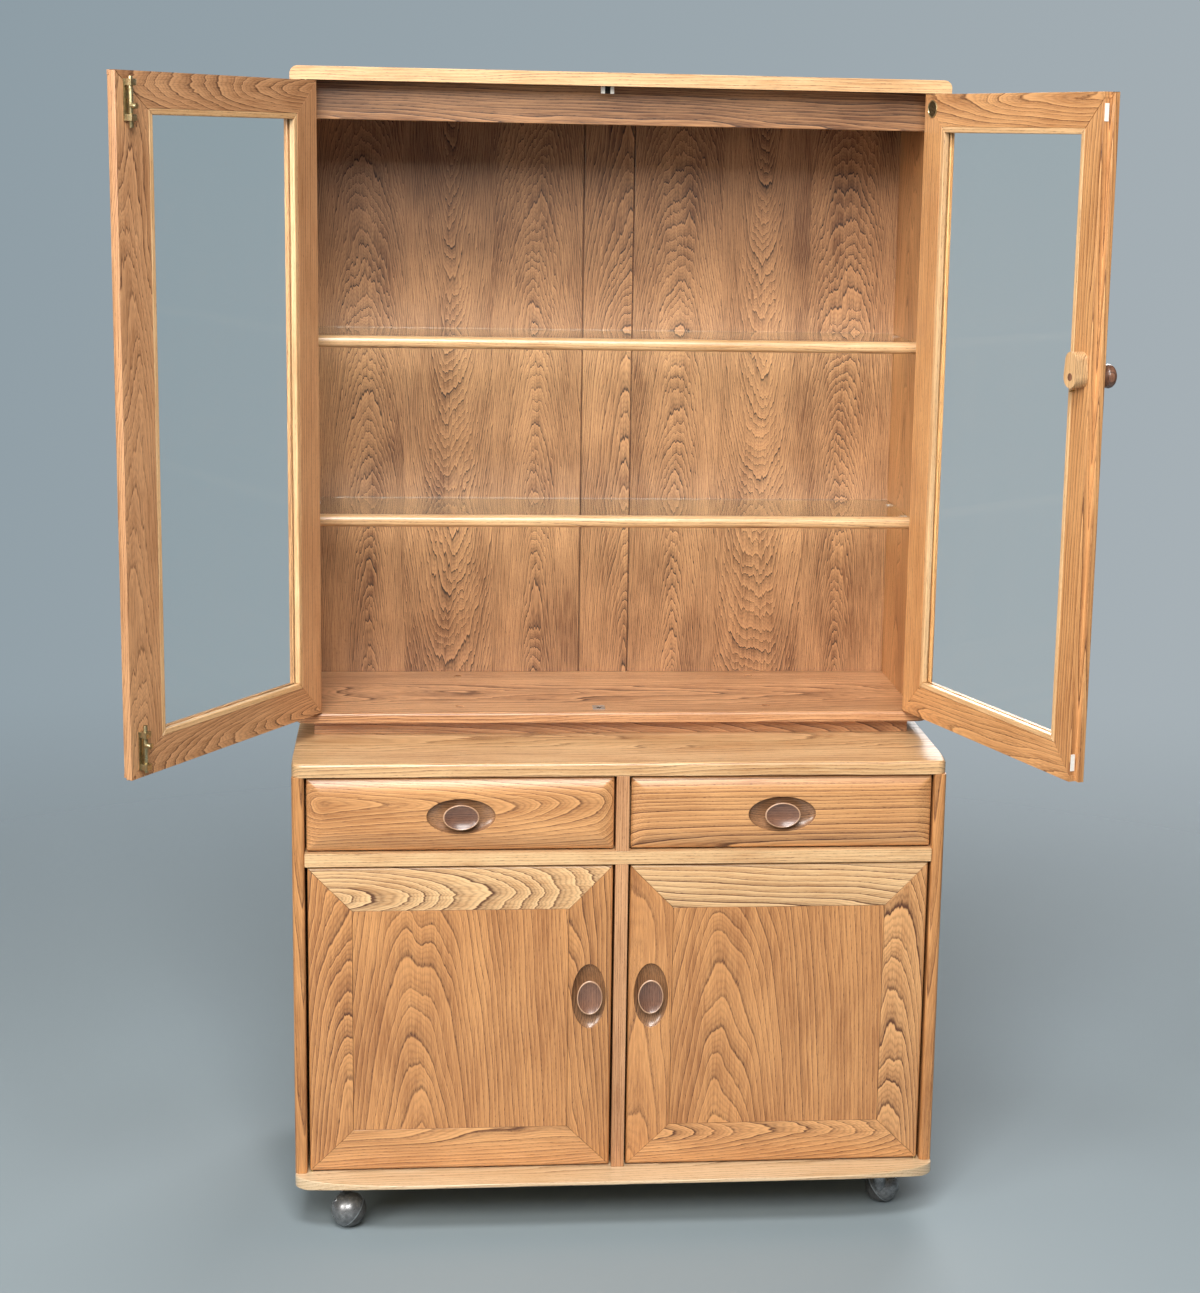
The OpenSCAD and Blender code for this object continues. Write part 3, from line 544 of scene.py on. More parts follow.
class Elm:
    """The elm finish. Its effect draws growth rings as a board cuts them."""

    def __init__(self) -> None:
        """Builds the shared effect."""
        self.count = 0
        self.effect = self.figured()

    @staticmethod
    def figured() -> Effect:
        """Makes the effect that draws rings, fibres and pores.

        Returns:
            The effect. Its place has X across the board, Y into it and Z along its grain.
        """
        numbers = (*(part.name for part in fields(Figure)), "seed")
        g = Effect("elm figure", numbers, ("Light", "Warm", "Line"))
        place, light, warm, dark_line = g.given("Place", "Light", "Warm", "Line")
        across, depth, tilt, ring, wander, zigzag, bold, leaf_width, seed = g.given(*numbers)
        x, y, z = (Value(g, part) for part in g.node("SeparateXYZ", {0: place}).outputs)

        # Each leaf of veneer is another slice of the same log, turned and shifted.
        leaf = g.maths("ROUND", x / leaf_width)
        in_leaf = x - leaf * leaf_width
        seed = seed + leaf * 7.37
        sway = g.maths("SINE", leaf * 2.4) * 9.0
        here = g.value("CombineXYZ", {0: in_leaf, 1: y, 2: z + leaf * 61.0})
        offset = g.value("VectorMath", {0: (31, 17, 53), "Scale": seed}, operation="SCALE")
        spot = g.value("VectorMath", {0: here, 1: offset}, operation="ADD")

        # The distance from the pith, with waves of three sizes, counts the years.
        slow = (g.patches(spot, SLOW_WAVES, 1.0) - 0.5) * (wander * 2.0)
        mid = (g.patches(spot, MID_WAVES, 1.0) - 0.5) * (zigzag * 3.4)
        fine = (g.patches(spot, FINE_WAVES, 1.0) - 0.5) * (zigzag * 1.9)
        rise = z * g.maths("COSINE", leaf * math.pi) * tilt
        deep = (y + depth) + (slow + rise)
        radius = g.maths("SQRT", (in_leaf + sway - across) ** 2.0 + deep ** 2.0)
        years = (radius + (mid + fine)) / ring
        uneven = g.value("TexNoise", {"W": years * 0.43 + seed, "Scale": 1.0, "Detail": 0.0},
                         noise_dimensions="1D")
        years = years + uneven * 0.9
        within = g.maths("FRACT", years)
        year = g.maths("FLOOR", years) + seed * 3.0
        chance = g.value("TexWhiteNoise", {"W": year}, noise_dimensions="1D")

        # A year is a dark line with a soft tail, a pale edge and four faint lines.
        line, pale = g.ramp(within, *RING_LINE), g.ramp(within, *RING_PALE)
        faint = g.ramp(g.maths("FRACT", years * 4.0), *FAINT_LINE) * 0.30
        fibre, broad = g.patches(spot, FIBRES, 3.0), g.patches(spot, CLOUDS, 2.0)
        pores = g.ramp(g.patches(spot, PORES, 1.0), (0.55, 0.0), (0.66, 1.0))
        warmth = g.clamped((broad * 1.7 - 0.40) + (fibre * 1.9 - 0.95))
        ground = g.mix(pale * bold * 0.75, g.mix(warmth, light, warm), light)
        drawn = line * (chance ** 1.4 * 0.62 + 0.38) * bold + faint * bold
        pitted = pores * (line * 0.75 + 0.12) * 0.6
        dark = g.clamped(drawn + pitted)
        low = line * 0.35 + pitted * 1.6 + fibre * 0.5
        g.put_out(g.mix(dark, ground, dark_line), (dark * 0.16 + 0.33) + (fibre * 0.14 - 0.07),
                  g.maths("SUBTRACT", 1.0, low))
        return g

    def board(self, name: str, face: Sequence[float], along: Vector, inward: Vector,
              figure: Figure = Figure(), tone: Tone = Tone.HONEY, coat: Coat = SATIN
              ) -> bpy.types.Material:
        """Makes the finish of one board.

        Args:
            name: The board's name.
            face: The middle of its show face.
            along: The way its grain runs.
            inward: The way from the show face into the board.
            figure: How the saw met the rings.
            tone: The wood's colours.
            coat: Its varnish.

        Returns:
            The material.
        """
        self.count += 1
        light, warm, line = ((*rgb, 1) for rgb in tone.value)
        values = {**asdict(figure), "seed": self.count * SEED_STEP,
                  "Light": light, "Warm": warm, "Line": line}
        plain = {"Coat Weight": coat.weight, "Coat Roughness": coat.roughness}
        turn = Matrix((inward.cross(along), inward, along)).transposed()
        return self.effect.material(f"elm {name}", values, WOOD_RELIEF, plain, face, turn)


# Metal, plastic, rubber and glass


@dataclass(frozen=True)
class Finish:
    """A finish of metal, plastic or rubber with its mottling."""

    name: str
    slot: str
    light: tuple[float, float, float]
    dark: tuple[float, float, float]
    metallic: float
    smooth: float
    dull: float
    patch: float = 6.0


@dataclass(frozen=True)
class Glass:
    """A clear glass: its index of refraction, how strongly it mirrors and its colour."""

    name: str
    bending: float
    glint: float
    tint: tuple[float, float, float]
    slot: str = "clear_glass"


BRASS = Finish("aged brass", "brass", (0.60, 0.50, 0.29), (0.25, 0.21, 0.11), 1.0, 0.26, 0.55)
OLIVE = Finish("dark brass", "brass", (0.20, 0.165, 0.085), (0.09, 0.075, 0.04), 1.0, 0.3, 0.55, 3.0)
STEEL = Finish("zinc plated steel", "steel", (0.70, 0.71, 0.72), (0.48, 0.49, 0.50), 1.0, 0.25, 0.5)
NYLON = Finish("white nylon", "white_plastic", (0.86, 0.85, 0.80), (0.74, 0.72, 0.66), 0.0, 0.35, 0.5)
HOOD = Finish("satin castor metal", "castor_metal", (0.34, 0.34, 0.34), (0.16, 0.16, 0.165), 0.75, 0.26,
              0.46)
# The walls of the keeps' slots and holes, darkened as painted shade.
SLOT_SHADE = Finish("dark slot", "white_plastic", (0.07, 0.06, 0.05), (0.03, 0.026, 0.022), 0.0, 0.5, 0.7)
TYRE = Finish("castor rolling half", "castor_rubber", (0.12, 0.115, 0.11), (0.05, 0.047, 0.045), 0.2, 0.3,
              0.5)
DOOR_GLASS = Glass("door glass", 1.12, 0.05, (0.95, 0.985, 0.975))
SHELF_GLASS = Glass("shelf glass", 1.5, 0.5, (0.80, 0.87, 0.84))
GLASS_SHADE = (0.93, 0.96, 0.95, 1)
WEAR_RELIEF = (0.05, 0.3 * MM)
SCRATCHES = (0.35, 0.35, 7.0)


class Shop:
    """Makes and keeps the finishes that aren't wood."""

    def __init__(self) -> None:
        """Builds the shared effect for mottled surfaces."""
        self.effect = self.handled()
        self.made: dict[Finish | Glass, bpy.types.Material] = {}

    @staticmethod
    def handled() -> Effect:
        """Makes the effect that mottles a surface with tarnish and fine scratches."""
        g = Effect("handling wear", ("Patch", "Smooth", "Dull"), ("Light", "Dark"))
        place, patch, smooth, dull, light, dark = g.given("Place", "Patch", "Smooth", "Dull", "Light", "Dark")
        shrunk = g.value("VectorMath", {0: place, "Scale": g.maths("DIVIDE", 1.0, patch)}, operation="SCALE")
        spots = g.noise(shrunk, 4.0)
        tarnish = g.ramp(spots, (0.36, 0.0), (0.66, 1.0))
        scratches = g.ramp(g.patches(place, SCRATCHES, 1.0), (0.58, 0.0), (0.66, 1.0))
        g.put_out(g.mix(tarnish * 0.8 + 0.1, light, dark),
                  smooth + (dull - smooth) * tarnish + scratches * 0.12, spots - scratches * 0.5)
        return g

    def finish(self, wanted: Finish | Glass) -> bpy.types.Material:
        """Gives the material of a finish, made once."""
        if wanted not in self.made:
            make = self.glass if isinstance(wanted, Glass) else self.mottled
            self.made[wanted] = make(wanted)
        return self.made[wanted]

    def mottled(self, wanted: Finish) -> bpy.types.Material:
        """Makes a mottled material."""
        values = {"Patch": wanted.patch, "Light": (*wanted.light, 1), "Dark": (*wanted.dark, 1),
                  "Smooth": wanted.smooth, "Dull": wanted.dull}
        return self.effect.material(wanted.name, values, WEAR_RELIEF, {"Metallic": wanted.metallic})

    def glass(self, wanted: Glass) -> bpy.types.Material:
        """Makes a clear glass, which lets lamps light what is behind it."""
        material, g, shader = new_material(wanted.name, {
            "Base Color": (*wanted.tint, 1), "Transmission Weight": 1.0, "IOR": wanted.bending,
            "Specular IOR Level": wanted.glint})
        smears = g.ramp(g.noise(g.place(), 3.0, 9.0), (0.45, 0.0), (0.8, 0.05))
        g.feed(shader.inputs["Roughness"], smears)
        clear = g.node("BsdfTransparent", {"Color": GLASS_SHADE})
        g.surface(g.value("LightPath", {}, "Is Shadow Ray"), shader, clear)
        return material


elm = Elm()
shop = Shop()


def dress(node: str, finish: bpy.types.Material, slot: str, arris: float = 0.3 * MM, steps: int = 3,
          limit: float = 35) -> None:
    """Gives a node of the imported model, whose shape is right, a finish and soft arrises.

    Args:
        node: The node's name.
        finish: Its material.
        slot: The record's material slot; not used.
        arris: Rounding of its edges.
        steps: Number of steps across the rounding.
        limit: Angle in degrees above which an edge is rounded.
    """
    piece = frame["nodes"][node]
    piece.data.materials.clear()
    piece.data.materials.append(finish)
    piece.modifiers.new("weld", "WELD").merge_threshold = 0.01 * MM
    edge = piece.modifiers.new("arris", "BEVEL")
    edge.width, edge.segments, edge.limit_method = arris, steps, "ANGLE"
    edge.angle_limit = math.radians(limit)
    log.info("%s: dressed as %s", node, finish.name)


def plank(node: str, body: str, along: Vector, inward: Vector, figure: Figure = Figure(),
          tone: Tone = Tone.HONEY, arris: float = 0.8 * MM, slot: str = "elm",
          part: tuple[int, Box] | None = None) -> None:
    """Makes a straight board with soft arrises in place of a node or of one part of it.

    Args:
        node: The node that it replaces.
        body: The body that it moves with.
        along: The way its grain runs.
        inward: The way from its show face into the board.
        figure: How the saw met the rings.
        tone: The wood's colours.
        arris: Rounding of its edges.
        slot: The record's material slot; not used.
        part: Number and box of the part.
    """
    name, box = (f"{node}_wood_{part[0]}", part[1]) if part else (f"{node}_wood", box_of(node))
    face = box.middle - inward * abs(box.size.dot(inward)) / 2
    finish = elm.board(name, face, along, inward, figure, tone)
    box.filled().softened(arris).piece(name, finish, body, slot, node)


# The base case


def arc_fall(distance: float, width: float, fall: float) -> float:
    """Gives how far a face lies back, where it falls away in an arc towards its edge.

    Args:
        distance: Distance from the edge.
        width: Width over which the face falls away.
        fall: How far it falls in all.

    Returns:
        The depth of the face there.
    """
    if distance >= width:
        return 0.0
    radius = (width ** 2 + fall ** 2) / (2 * fall)
    return radius - math.sqrt(radius ** 2 - (width - distance) ** 2)


@dataclass
class NosedBoard:
    """A board with rounded front corners and a rounded upper front arris."""

    node: str
    figure: Figure
    tone: Tone = Tone.CREAM
    coat: Coat = SATIN
    end_round: float = 0.0
    plugs: str = ""
    plug_play: float = 0.25 * MM
    corner: float = 14 * MM
    corner_steps: int = 8
    arris: float = 5 * MM
    arris_steps: int = 5
    soft: float = 0.7 * MM

    def build(self) -> None:
        """Builds the board in place of its node."""
        box = box_of(self.node)
        low, high = box.low, box.high
        solid = box.filled()
        if self.end_round:
            ends = solid.edges_at(lambda p: p.z > high.z - TINY and abs(abs(p.x) - high.x) < TINY,
                                  1, self.corner)
            solid.bevelled(ends, self.end_round, self.corner_steps)
        corners = solid.edges_at(lambda p: p.y < low.y + TINY and abs(abs(p.x) - high.x) < TINY,
                                 2, self.soft)
        solid.bevelled(corners, self.corner, self.corner_steps)
        front = solid.edges_at(lambda p: p.y < low.y + self.corner + TINY
                               and p.z > high.z - self.end_round - TINY)
        solid.bevelled(sharp(front, 60), self.arris, self.arris_steps)
        solid.softened(self.soft, limit=50)
        for plug in loose_boxes(self.plugs) if self.plugs else ():
            radius = plug.size.x / 2 + self.plug_play
            solid.carved(Solid.rod(radius, plug.low.z, plug.high.z + MM, plug.middle.xy, 32))
        finish = elm.board(self.node, (0, box.middle.y, high.z), RIGHT, -UP, self.figure, self.tone,
                           self.coat)
        solid.piece(f"{self.node}_wood", finish, "case", "elm", self.node)


def build_side(node: str, side: str, arris: float = 5 * MM) -> None:
    """Builds an upright side panel whose front edges are rounded.

    Args:
        node: The node that it replaces.
        side: Left or right.
        arris: Radius of the front edges.
    """
    box = box_of(node)
    solid = box.filled()
    solid.bevelled(solid.edges_at(lambda p: p.y < box.low.y + TINY, 2, arris), arris, 6)
    solid.softened(0.5 * MM, limit=50)
    across, inward = (-40, RIGHT) if side == "left" else (30, -RIGHT)
    finish = elm.board(node, box.middle - inward * box.size.x / 2, UP, inward,
                       Figure(across, 90, 0.08, 5, 12, bold=0.6), Tone.HONEY, Coat(0.25, 0.3))
    solid.piece(f"{node}_wood", finish, "case", "elm", node)


@dataclass
class BaseCase:
    """The low case with its drawer bays and cupboards."""

    nose: float = 50 * MM
    nose_curve: float = 175 * MM
    nose_edge: float = 5 * MM
    nose_bevel: float = 30 * MM
    nose_arris: float = 1.6 * MM
    curve_steps: int = 18

    def build(self) -> None:
        """Builds all fixed boards of the base."""
        self.bottom_board()
        for side in SIDES:
            build_side(f"base_{side}_side", side)
        NosedBoard("base_top_board", Figure(70, 210, 0.02, 4, bold=0.7)).build()
        self.partition()
        plank("drawer_rail", "case", RIGHT, BACK, Figure(-160, 60, 0.01, 3.4, 6, bold=0.55), Tone.CREAM,
              1.0 * MM)
        plank("base_back_panel", "case", UP, -BACK, Figure(0, 62, 0.10, 2.2, 8, 0.85, leaf=146),
              Tone.SHADE, 0.4 * MM, "elm_back")
        for node, along in (("drawer_runners", BACK), ("cupboard_shelves", RIGHT)):
            for part in enumerate(loose_boxes(node), 1):
                plank(node, "case", along, -UP, Figure(30 * part[0]), part=part)

    def bottom_board(self) -> None:
        """Builds the bottom board with its long curved front corners and under-bevel."""
        node = "base_bottom_board"
        box = box_of(node)
        low, high = box.low, box.high
        shoulder = low.y + self.nose
        turn = [math.radians(90 * i / self.curve_steps) for i in range(self.curve_steps + 1)]
        curve = [(high.x - self.nose_curve * (1 - math.cos(a)), shoulder - self.nose * math.sin(a))
                 for a in turn]
        outline = [(low.x, high.y), (high.x, high.y), *curve, *((-x, y) for x, y in reversed(curve))]
        solid = Solid()
        sole = solid.bm.faces.new([solid.bm.verts.new((x, y, low.z)) for x, y in outline])
        raised = bmesh.ops.extrude_face_region(solid.bm, geom=[sole])
        upper = [v for v in raised["geom"] if isinstance(v, bmesh.types.BMVert)]
        bmesh.ops.translate(solid.bm, vec=(0, 0, high.z - low.z), verts=upper)
        slope = Vector((0, -(box.size.z - self.nose_edge), -self.nose_bevel)).normalized()
        solid.mended().sliced(Vector((0, low.y + self.nose_bevel, low.z)), slope)
        solid.softened(self.nose_arris, 3, 25)
        finish = elm.board(node, (0, 0, high.z), RIGHT, -UP, Figure(200, 70, 0.02, 4, bold=0.6), Tone.PALE)
        solid.piece(f"{node}_wood", finish, "case", "elm", node)

    @staticmethod
    def partition() -> None:
        """Builds the partition, notched for the rail."""
        node = "base_partition"
        box, rail = box_of(node), box_of("drawer_rail")
        notch = Solid.block((box.low.x - MM, rail.low.y - MM, rail.low.z),
                            (box.high.x + MM, rail.high.y, rail.high.z))
        finish = elm.board(node, (0, box.low.y, box.middle.z), UP, BACK,
                           Figure(140, 40, 0.01, 3.2, 6, bold=0.55), Tone.AMBER)
        box.filled().carved(notch).softened(0.7 * MM).piece(f"{node}_wood", finish, "case", "elm", node)


# Doors and drawers


@dataclass(frozen=True)
class Drawing:
    """A door or a drawer front, drawn with X across it, Y into it from its face and Z up it.

    A matrix takes what is drawn into place. It mirrors the doors that hang on the right.
    """

    body: str
    matrix: Matrix

    def finish(self, name: str, face: Vector, along: Vector, inward: Vector, figure: Figure, tone: Tone,
               coat: Coat = SATIN) -> bpy.types.Material:
        """Makes the finish of a board, from places and ways in the drawing."""
        turn = self.matrix.to_3x3()
        if along == RIGHT and turn.determinant() < 0:
            along = -along
        return elm.board(name, self.matrix @ face, (turn @ along).normalized(),
                         (turn @ inward).normalized(), figure, tone, coat)

    def piece(self, solid: Solid, name: str, finish: bpy.types.Material, node: str, slot: str = "elm",
              second: bpy.types.Material | None = None, at: Matrix = Matrix()) -> None:
        """Takes a solid into place as a piece.

        Args:
            solid: The solid.
            name: The piece's name.
            finish: Its material.
            node: The node that it replaces.
            slot: The record's material slot; not used.
            second: Finish of the faces that are marked for it.
            at: Takes the solid into the drawing.
        """
        solid.placed(self.matrix @ at).piece(name, finish, self.body, slot, node, second)


@dataclass(frozen=True)
class OvalHandle:
    """An oval recess in a face, and the oval pull in it: a foot under a cup with a hollow face."""

    drawing: Drawing
    middle: Vector
    along: Vector
    recess_long: float = 95 * MM
    recess_wide: float = 50 * MM
    recess_deep: float = 11 * MM
    recess_rim: float = 0.55 * MM
    slack: float = 0.012
    long: float = 50 * MM
    wide: float = 36 * MM
    out: float = 7 * MM
    cup: float = 9 * MM
    dish: float = 4.6 * MM
    rim: float = 1.5 * MM
    seat: float = 11.6 * MM

    def cut_into(self, solid: Solid, name: str) -> bpy.types.Material:
        """Hollows the recess out of a face at Y = 0, softens its rim and marks its surface for painted shade.

        Args:
            solid: What it is cut into.
            name: The name of what it is cut into.

        Returns:
            The recess's finish, darkened as painted shade in the hollow.
        """
        across = RIGHT if self.along == UP else UP
        half = (self.along * self.recess_long + across * self.recess_wide) / 2 + BACK * self.recess_deep
        shrink = Matrix.Diagonal(half).inverted()

        def on_ball(point: Vector) -> bool:
            """Whether a point lies on the recess's surface."""
            return abs((shrink @ (point - self.middle)).length - 1) < self.slack

        solid.carved(Solid.ball(half, self.middle, 96))
        # The corners are sorted, so that each run joins the same ones
        verts = {v for e in sharp(solid.edges_at(on_ball), 25) for v in e.verts}
        bmesh.ops.remove_doubles(solid.bm, verts=sorted(verts, key=lambda v: v.co[:]),
                                 dist=1.1 * self.recess_rim)
        rim = sharp(solid.edges_at(on_ball), 25)
        # The recess's faces take the second finish, darkened as painted shade.
        for face in solid.bm.faces:
            if all(on_ball(v.co) for v in face.verts):
                face.material_index = 1
        bmesh.ops.bevel(solid.bm, geom=rim, offset=self.recess_rim, offset_type="OFFSET", segments=2,
                        profile=0.5, affect="EDGES", clamp_overlap=False, material=0)
        return self.drawing.finish(f"recess in {name}", self.middle, self.along, BACK,
                                   Figure(50, 30, 0.02, 2.6, 5, 0.3, 0.8), Tone.SCOOP, Coat(1.0, 0.22))

    def pull(self, node: str) -> None:
        """Builds the pull in place of its node."""
        radius, height = self.wide / 2, self.seat + self.out
        foot, edge = 0.55 * radius, radius - 0.35 * self.rim
        turn = [math.radians(a) for a in range(0, 91, 9)]
        under = [(foot, height - self.cup * 0.86)]
        under += [(radius * math.sin(a), height - self.rim - self.cup * math.cos(a)) for a in turn
                  if radius * math.sin(a) > foot]
        lip = [(radius, height - 0.6 * self.rim), (edge, height - 0.1 * self.rim),
               (edge - 0.35 * self.rim, height), (radius - self.rim, height - 0.25 * self.rim)]
        hollow = [((radius - self.rim) * t, height - 0.25 * self.rim - self.dish * (1 - t ** 2.4))
                  for t in (1 - i / 12 for i in range(1, 13))]
        solid = Solid.turned([(0, 0), (foot, 0), *under, *lip, *hollow], 72)
        # The lip's faces take a lighter finish: a painted highlight on a worn rim.
        solid.marked(lambda spot, _: spot.z > height - self.rim
                     and spot.xy.length > radius - 0.9 * self.rim)
        oval = Matrix.Diagonal((self.long / self.wide, 1, 1, 1))
        stand = Matrix.Rotation(math.radians(90), 4, "X")
        upend = Matrix.Rotation(math.radians(90), 4, "Y") if self.along == UP else Matrix()
        at = Matrix.Translation(self.middle + BACK * self.seat) @ upend @ stand @ oval
        name = f"{node}_oval"
        finish = self.drawing.finish(name, self.middle, self.along, BACK,
                                     Figure(60, 25, 0.03, 2.2, 2, 0.3, 1.0), Tone.DARK, Coat(1.0, 0.24))
        worn_rim_highlight = self.drawing.finish(f"{name} rim", self.middle, self.along, BACK, Figure(bold=0.3),
                                   Tone.WORN)
        self.drawing.piece(solid, name, finish, node, "dark_wood", worn_rim_highlight, at)


class Edge(Enum):
    """The four members of a door's frame."""

    FOOT = "bottom_rail"
    HEAD = "top_rail"
    HINGE = "hinge_stile"
    LOCK = "lock_stile"


@dataclass(frozen=True)
class MitredFrame:
    """Four mitred members round an opening, drawn with the hinge edge at X = 0 and the foot at Z = 0."""

    width: float
    height: float
    hinge: float
    lock: float
    rail: float
    thick: float
    fall: float = 0.0
    fall_steps: int = 15
    joint: float = 0.2 * MM
    outer_arris: float = 3.0 * MM

    def member(self, length: float, width: float, start: float, end: float) -> Solid:
        """Makes a member along X, with its outer edge at Z = 0 and its face at Y = 0.

        Args:
            length: Its length.
            width: Its width.
            start: Width of the member that it meets at its start.
            end: Width of the member that it meets at its end.

        Returns:
            The solid.
        """
        shape = Solid.block((0, 0, 0), (length, self.thick, width))
        if self.fall:
            bmesh.ops.subdivide_edges(shape.bm, edges=shape.edges_at(lambda p: True, 2, TINY),
                                      cuts=self.fall_steps, use_grid_fill=True)
            for vert in shape.bm.verts:
                if vert.co.y < TINY:
                    vert.co.y = arc_fall(vert.co.z, width, self.fall)
            outer = shape.edges_at(lambda p: p.z < TINY and p.y < self.fall + TINY, 0, width)
            shape.bevelled(outer, self.outer_arris, 5)
        for place, lean, side in ((self.joint, start, -1), (length - self.joint, -end, 1)):
            shape.sliced(Vector((place, 0, 0)), (Vector((width, 0, -lean)) * side).normalized())
        return shape.mended()

    def members(self) -> Iterator[tuple[Edge, Solid, Vector, Vector]]:
        """Makes the four members.

        Yields:
            Each member's edge, its solid, the middle of its face and the way its grain runs.
        """
        w, h, rail = self.width, self.height, self.rail
        for edge, size, ends, degrees, start in (
                (Edge.FOOT, (w, rail), (self.hinge, self.lock), 0, (0, 0, 0)),
                (Edge.HEAD, (w, rail), (self.lock, self.hinge), 180, (w, 0, h)),
                (Edge.HINGE, (h, self.hinge), (rail, rail), 90, (0, 0, h)),
                (Edge.LOCK, (h, self.lock), (rail, rail), -90, (w, 0, 0))):
            matrix = Matrix.Translation(start) @ Matrix.Rotation(math.radians(degrees), 4, "Y")
            middle = matrix @ Vector((size[0] / 2, 0, size[1] / 2))
            along = RIGHT if edge in (Edge.FOOT, Edge.HEAD) else UP
            yield edge, self.member(*size, *ends).placed(matrix), middle, along


CUPBOARD_FIGURES = {
    "left": {
        Edge.HINGE: Figure(24, 44, 0.13, 5.4, 12, 0.6, 0.95),
        Edge.HEAD: Figure(14, 40, 0.22, 6.5, 14, 0.9, 1.0),
        Edge.FOOT: Figure(-45, 42, 0.05, 5.0, 16, 0.4, 0.8),
        Edge.LOCK: Figure(-60, 90, 0.05, 5.2, 12, 0.4, 0.8),
    },
    "right": {
        Edge.HINGE: Figure(-14, 40, 0.14, 5.4, 12, 0.7, 0.9),
        Edge.HEAD: Figure(46, 36, 0.07, 7.0, 16, 0.5, 1.0),
        Edge.FOOT: Figure(-20, 34, 0.12, 4.6, 12, 0.8, 0.8),
        Edge.LOCK: Figure(-50, 160, 0.03, 5.5, 10, 0.4, 0.4),
    },
}
PANEL_FIGURES = {
    "left": Figure(-62, 66, 0.15, 6.4, 13, 0.5, 0.62),
    "right": Figure(-74, 64, 0.15, 6.4, 13, 0.45, 0.62),
}
DRAWER_FIGURES = {
    "left": Figure(-14, 34, 0.09, 4.6, 10, 0.4, 0.75),
    "right": Figure(90, 50, -0.02, 6.0, 8, 0.3, 1.0),
}
GLAZED_FIGURES = {
    "left": {
        Edge.HINGE: Figure(120, 50, 0.02, 4.0, 8, 0.4, 0.6),
        Edge.HEAD: Figure(16, 32, 0.14, 4.0, 10, 0.8, 0.8),
        Edge.FOOT: Figure(-20, 32, 0.13, 4.0, 10, 0.8, 0.8),
        Edge.LOCK: Figure(-16, 64, 0.07, 3.2, 12, 0.9, 0.7),
    },
    "right": {
        Edge.HINGE: Figure(-110, 50, 0.02, 4.2, 8, 0.4, 0.55),
        Edge.HEAD: Figure(22, 30, 0.06, 4.4, 12, 0.5, 0.75),
        Edge.FOOT: Figure(-26, 34, 0.05, 4.8, 12, 0.5, 0.75),
        Edge.LOCK: Figure(90, 75, 0.04, 4.6, 10, 0.5, 0.8),
    },
}


@dataclass
class CupboardDoor:
    """A cupboard door: a mitred frame whose face falls away, a flush panel and an oval pull."""

    side: str
    frame_width: float = 62 * MM
    fall: float = 5 * MM
    thick: float = 18 * MM
    pull_in: float = 32 * MM
    pull_drop: float = 191 * MM
    arris: float = 0.55 * MM
    panel_arris: float = 0.9 * MM
    ease: float = 0.9 * MM

    def build(self) -> None:
        """Builds the door in place of its nodes."""
        door = f"{self.side}_cupboard"
        box = box_of(f"{door}_frame")
        sign, hinge_x, hinge_tone = ((1, box.low.x, Tone.HONEY) if self.side == "left"
                                     else (-1, box.high.x, Tone.GOLD))
        start = Matrix.Translation((hinge_x + sign * self.ease, box_of("drawer_rail").low.y,
                                    box.low.z + self.ease))
        drawing = Drawing(f"{door}_door", start @ Matrix.Diagonal((sign, 1, 1, 1)))
        width, height = box.size.x - 2 * self.ease, box.size.z - 2 * self.ease
        handle = OvalHandle(drawing, Vector((width - self.pull_in + self.ease, 0,
                                             height - self.pull_drop + self.ease)), UP)
        tones = {Edge.HEAD: Tone.CREAM, Edge.FOOT: Tone.GOLD, Edge.HINGE: hinge_tone, Edge.LOCK: Tone.HONEY}
        wood = self.frame_width - self.ease
        door_frame = MitredFrame(width, height, wood, wood, wood, self.thick, self.fall)
        for edge, solid, middle, along in door_frame.members():
            solid.softened(self.arris)
            # The lock stile's recess carries painted shade.
            painted_recess_shade = handle.cut_into(solid, self.side) if edge is Edge.LOCK else None
            name = f"{door}_{edge.value}"
            finish = drawing.finish(name, middle, along, BACK, CUPBOARD_FIGURES[self.side][edge],
                                    tones[edge])
            drawing.piece(solid, name, finish, f"{door}_frame", second=painted_recess_shade)
        plank(f"{door}_panel", drawing.body, UP, BACK, PANEL_FIGURES[self.side], arris=self.panel_arris)
        handle.pull(f"{door}_pull")


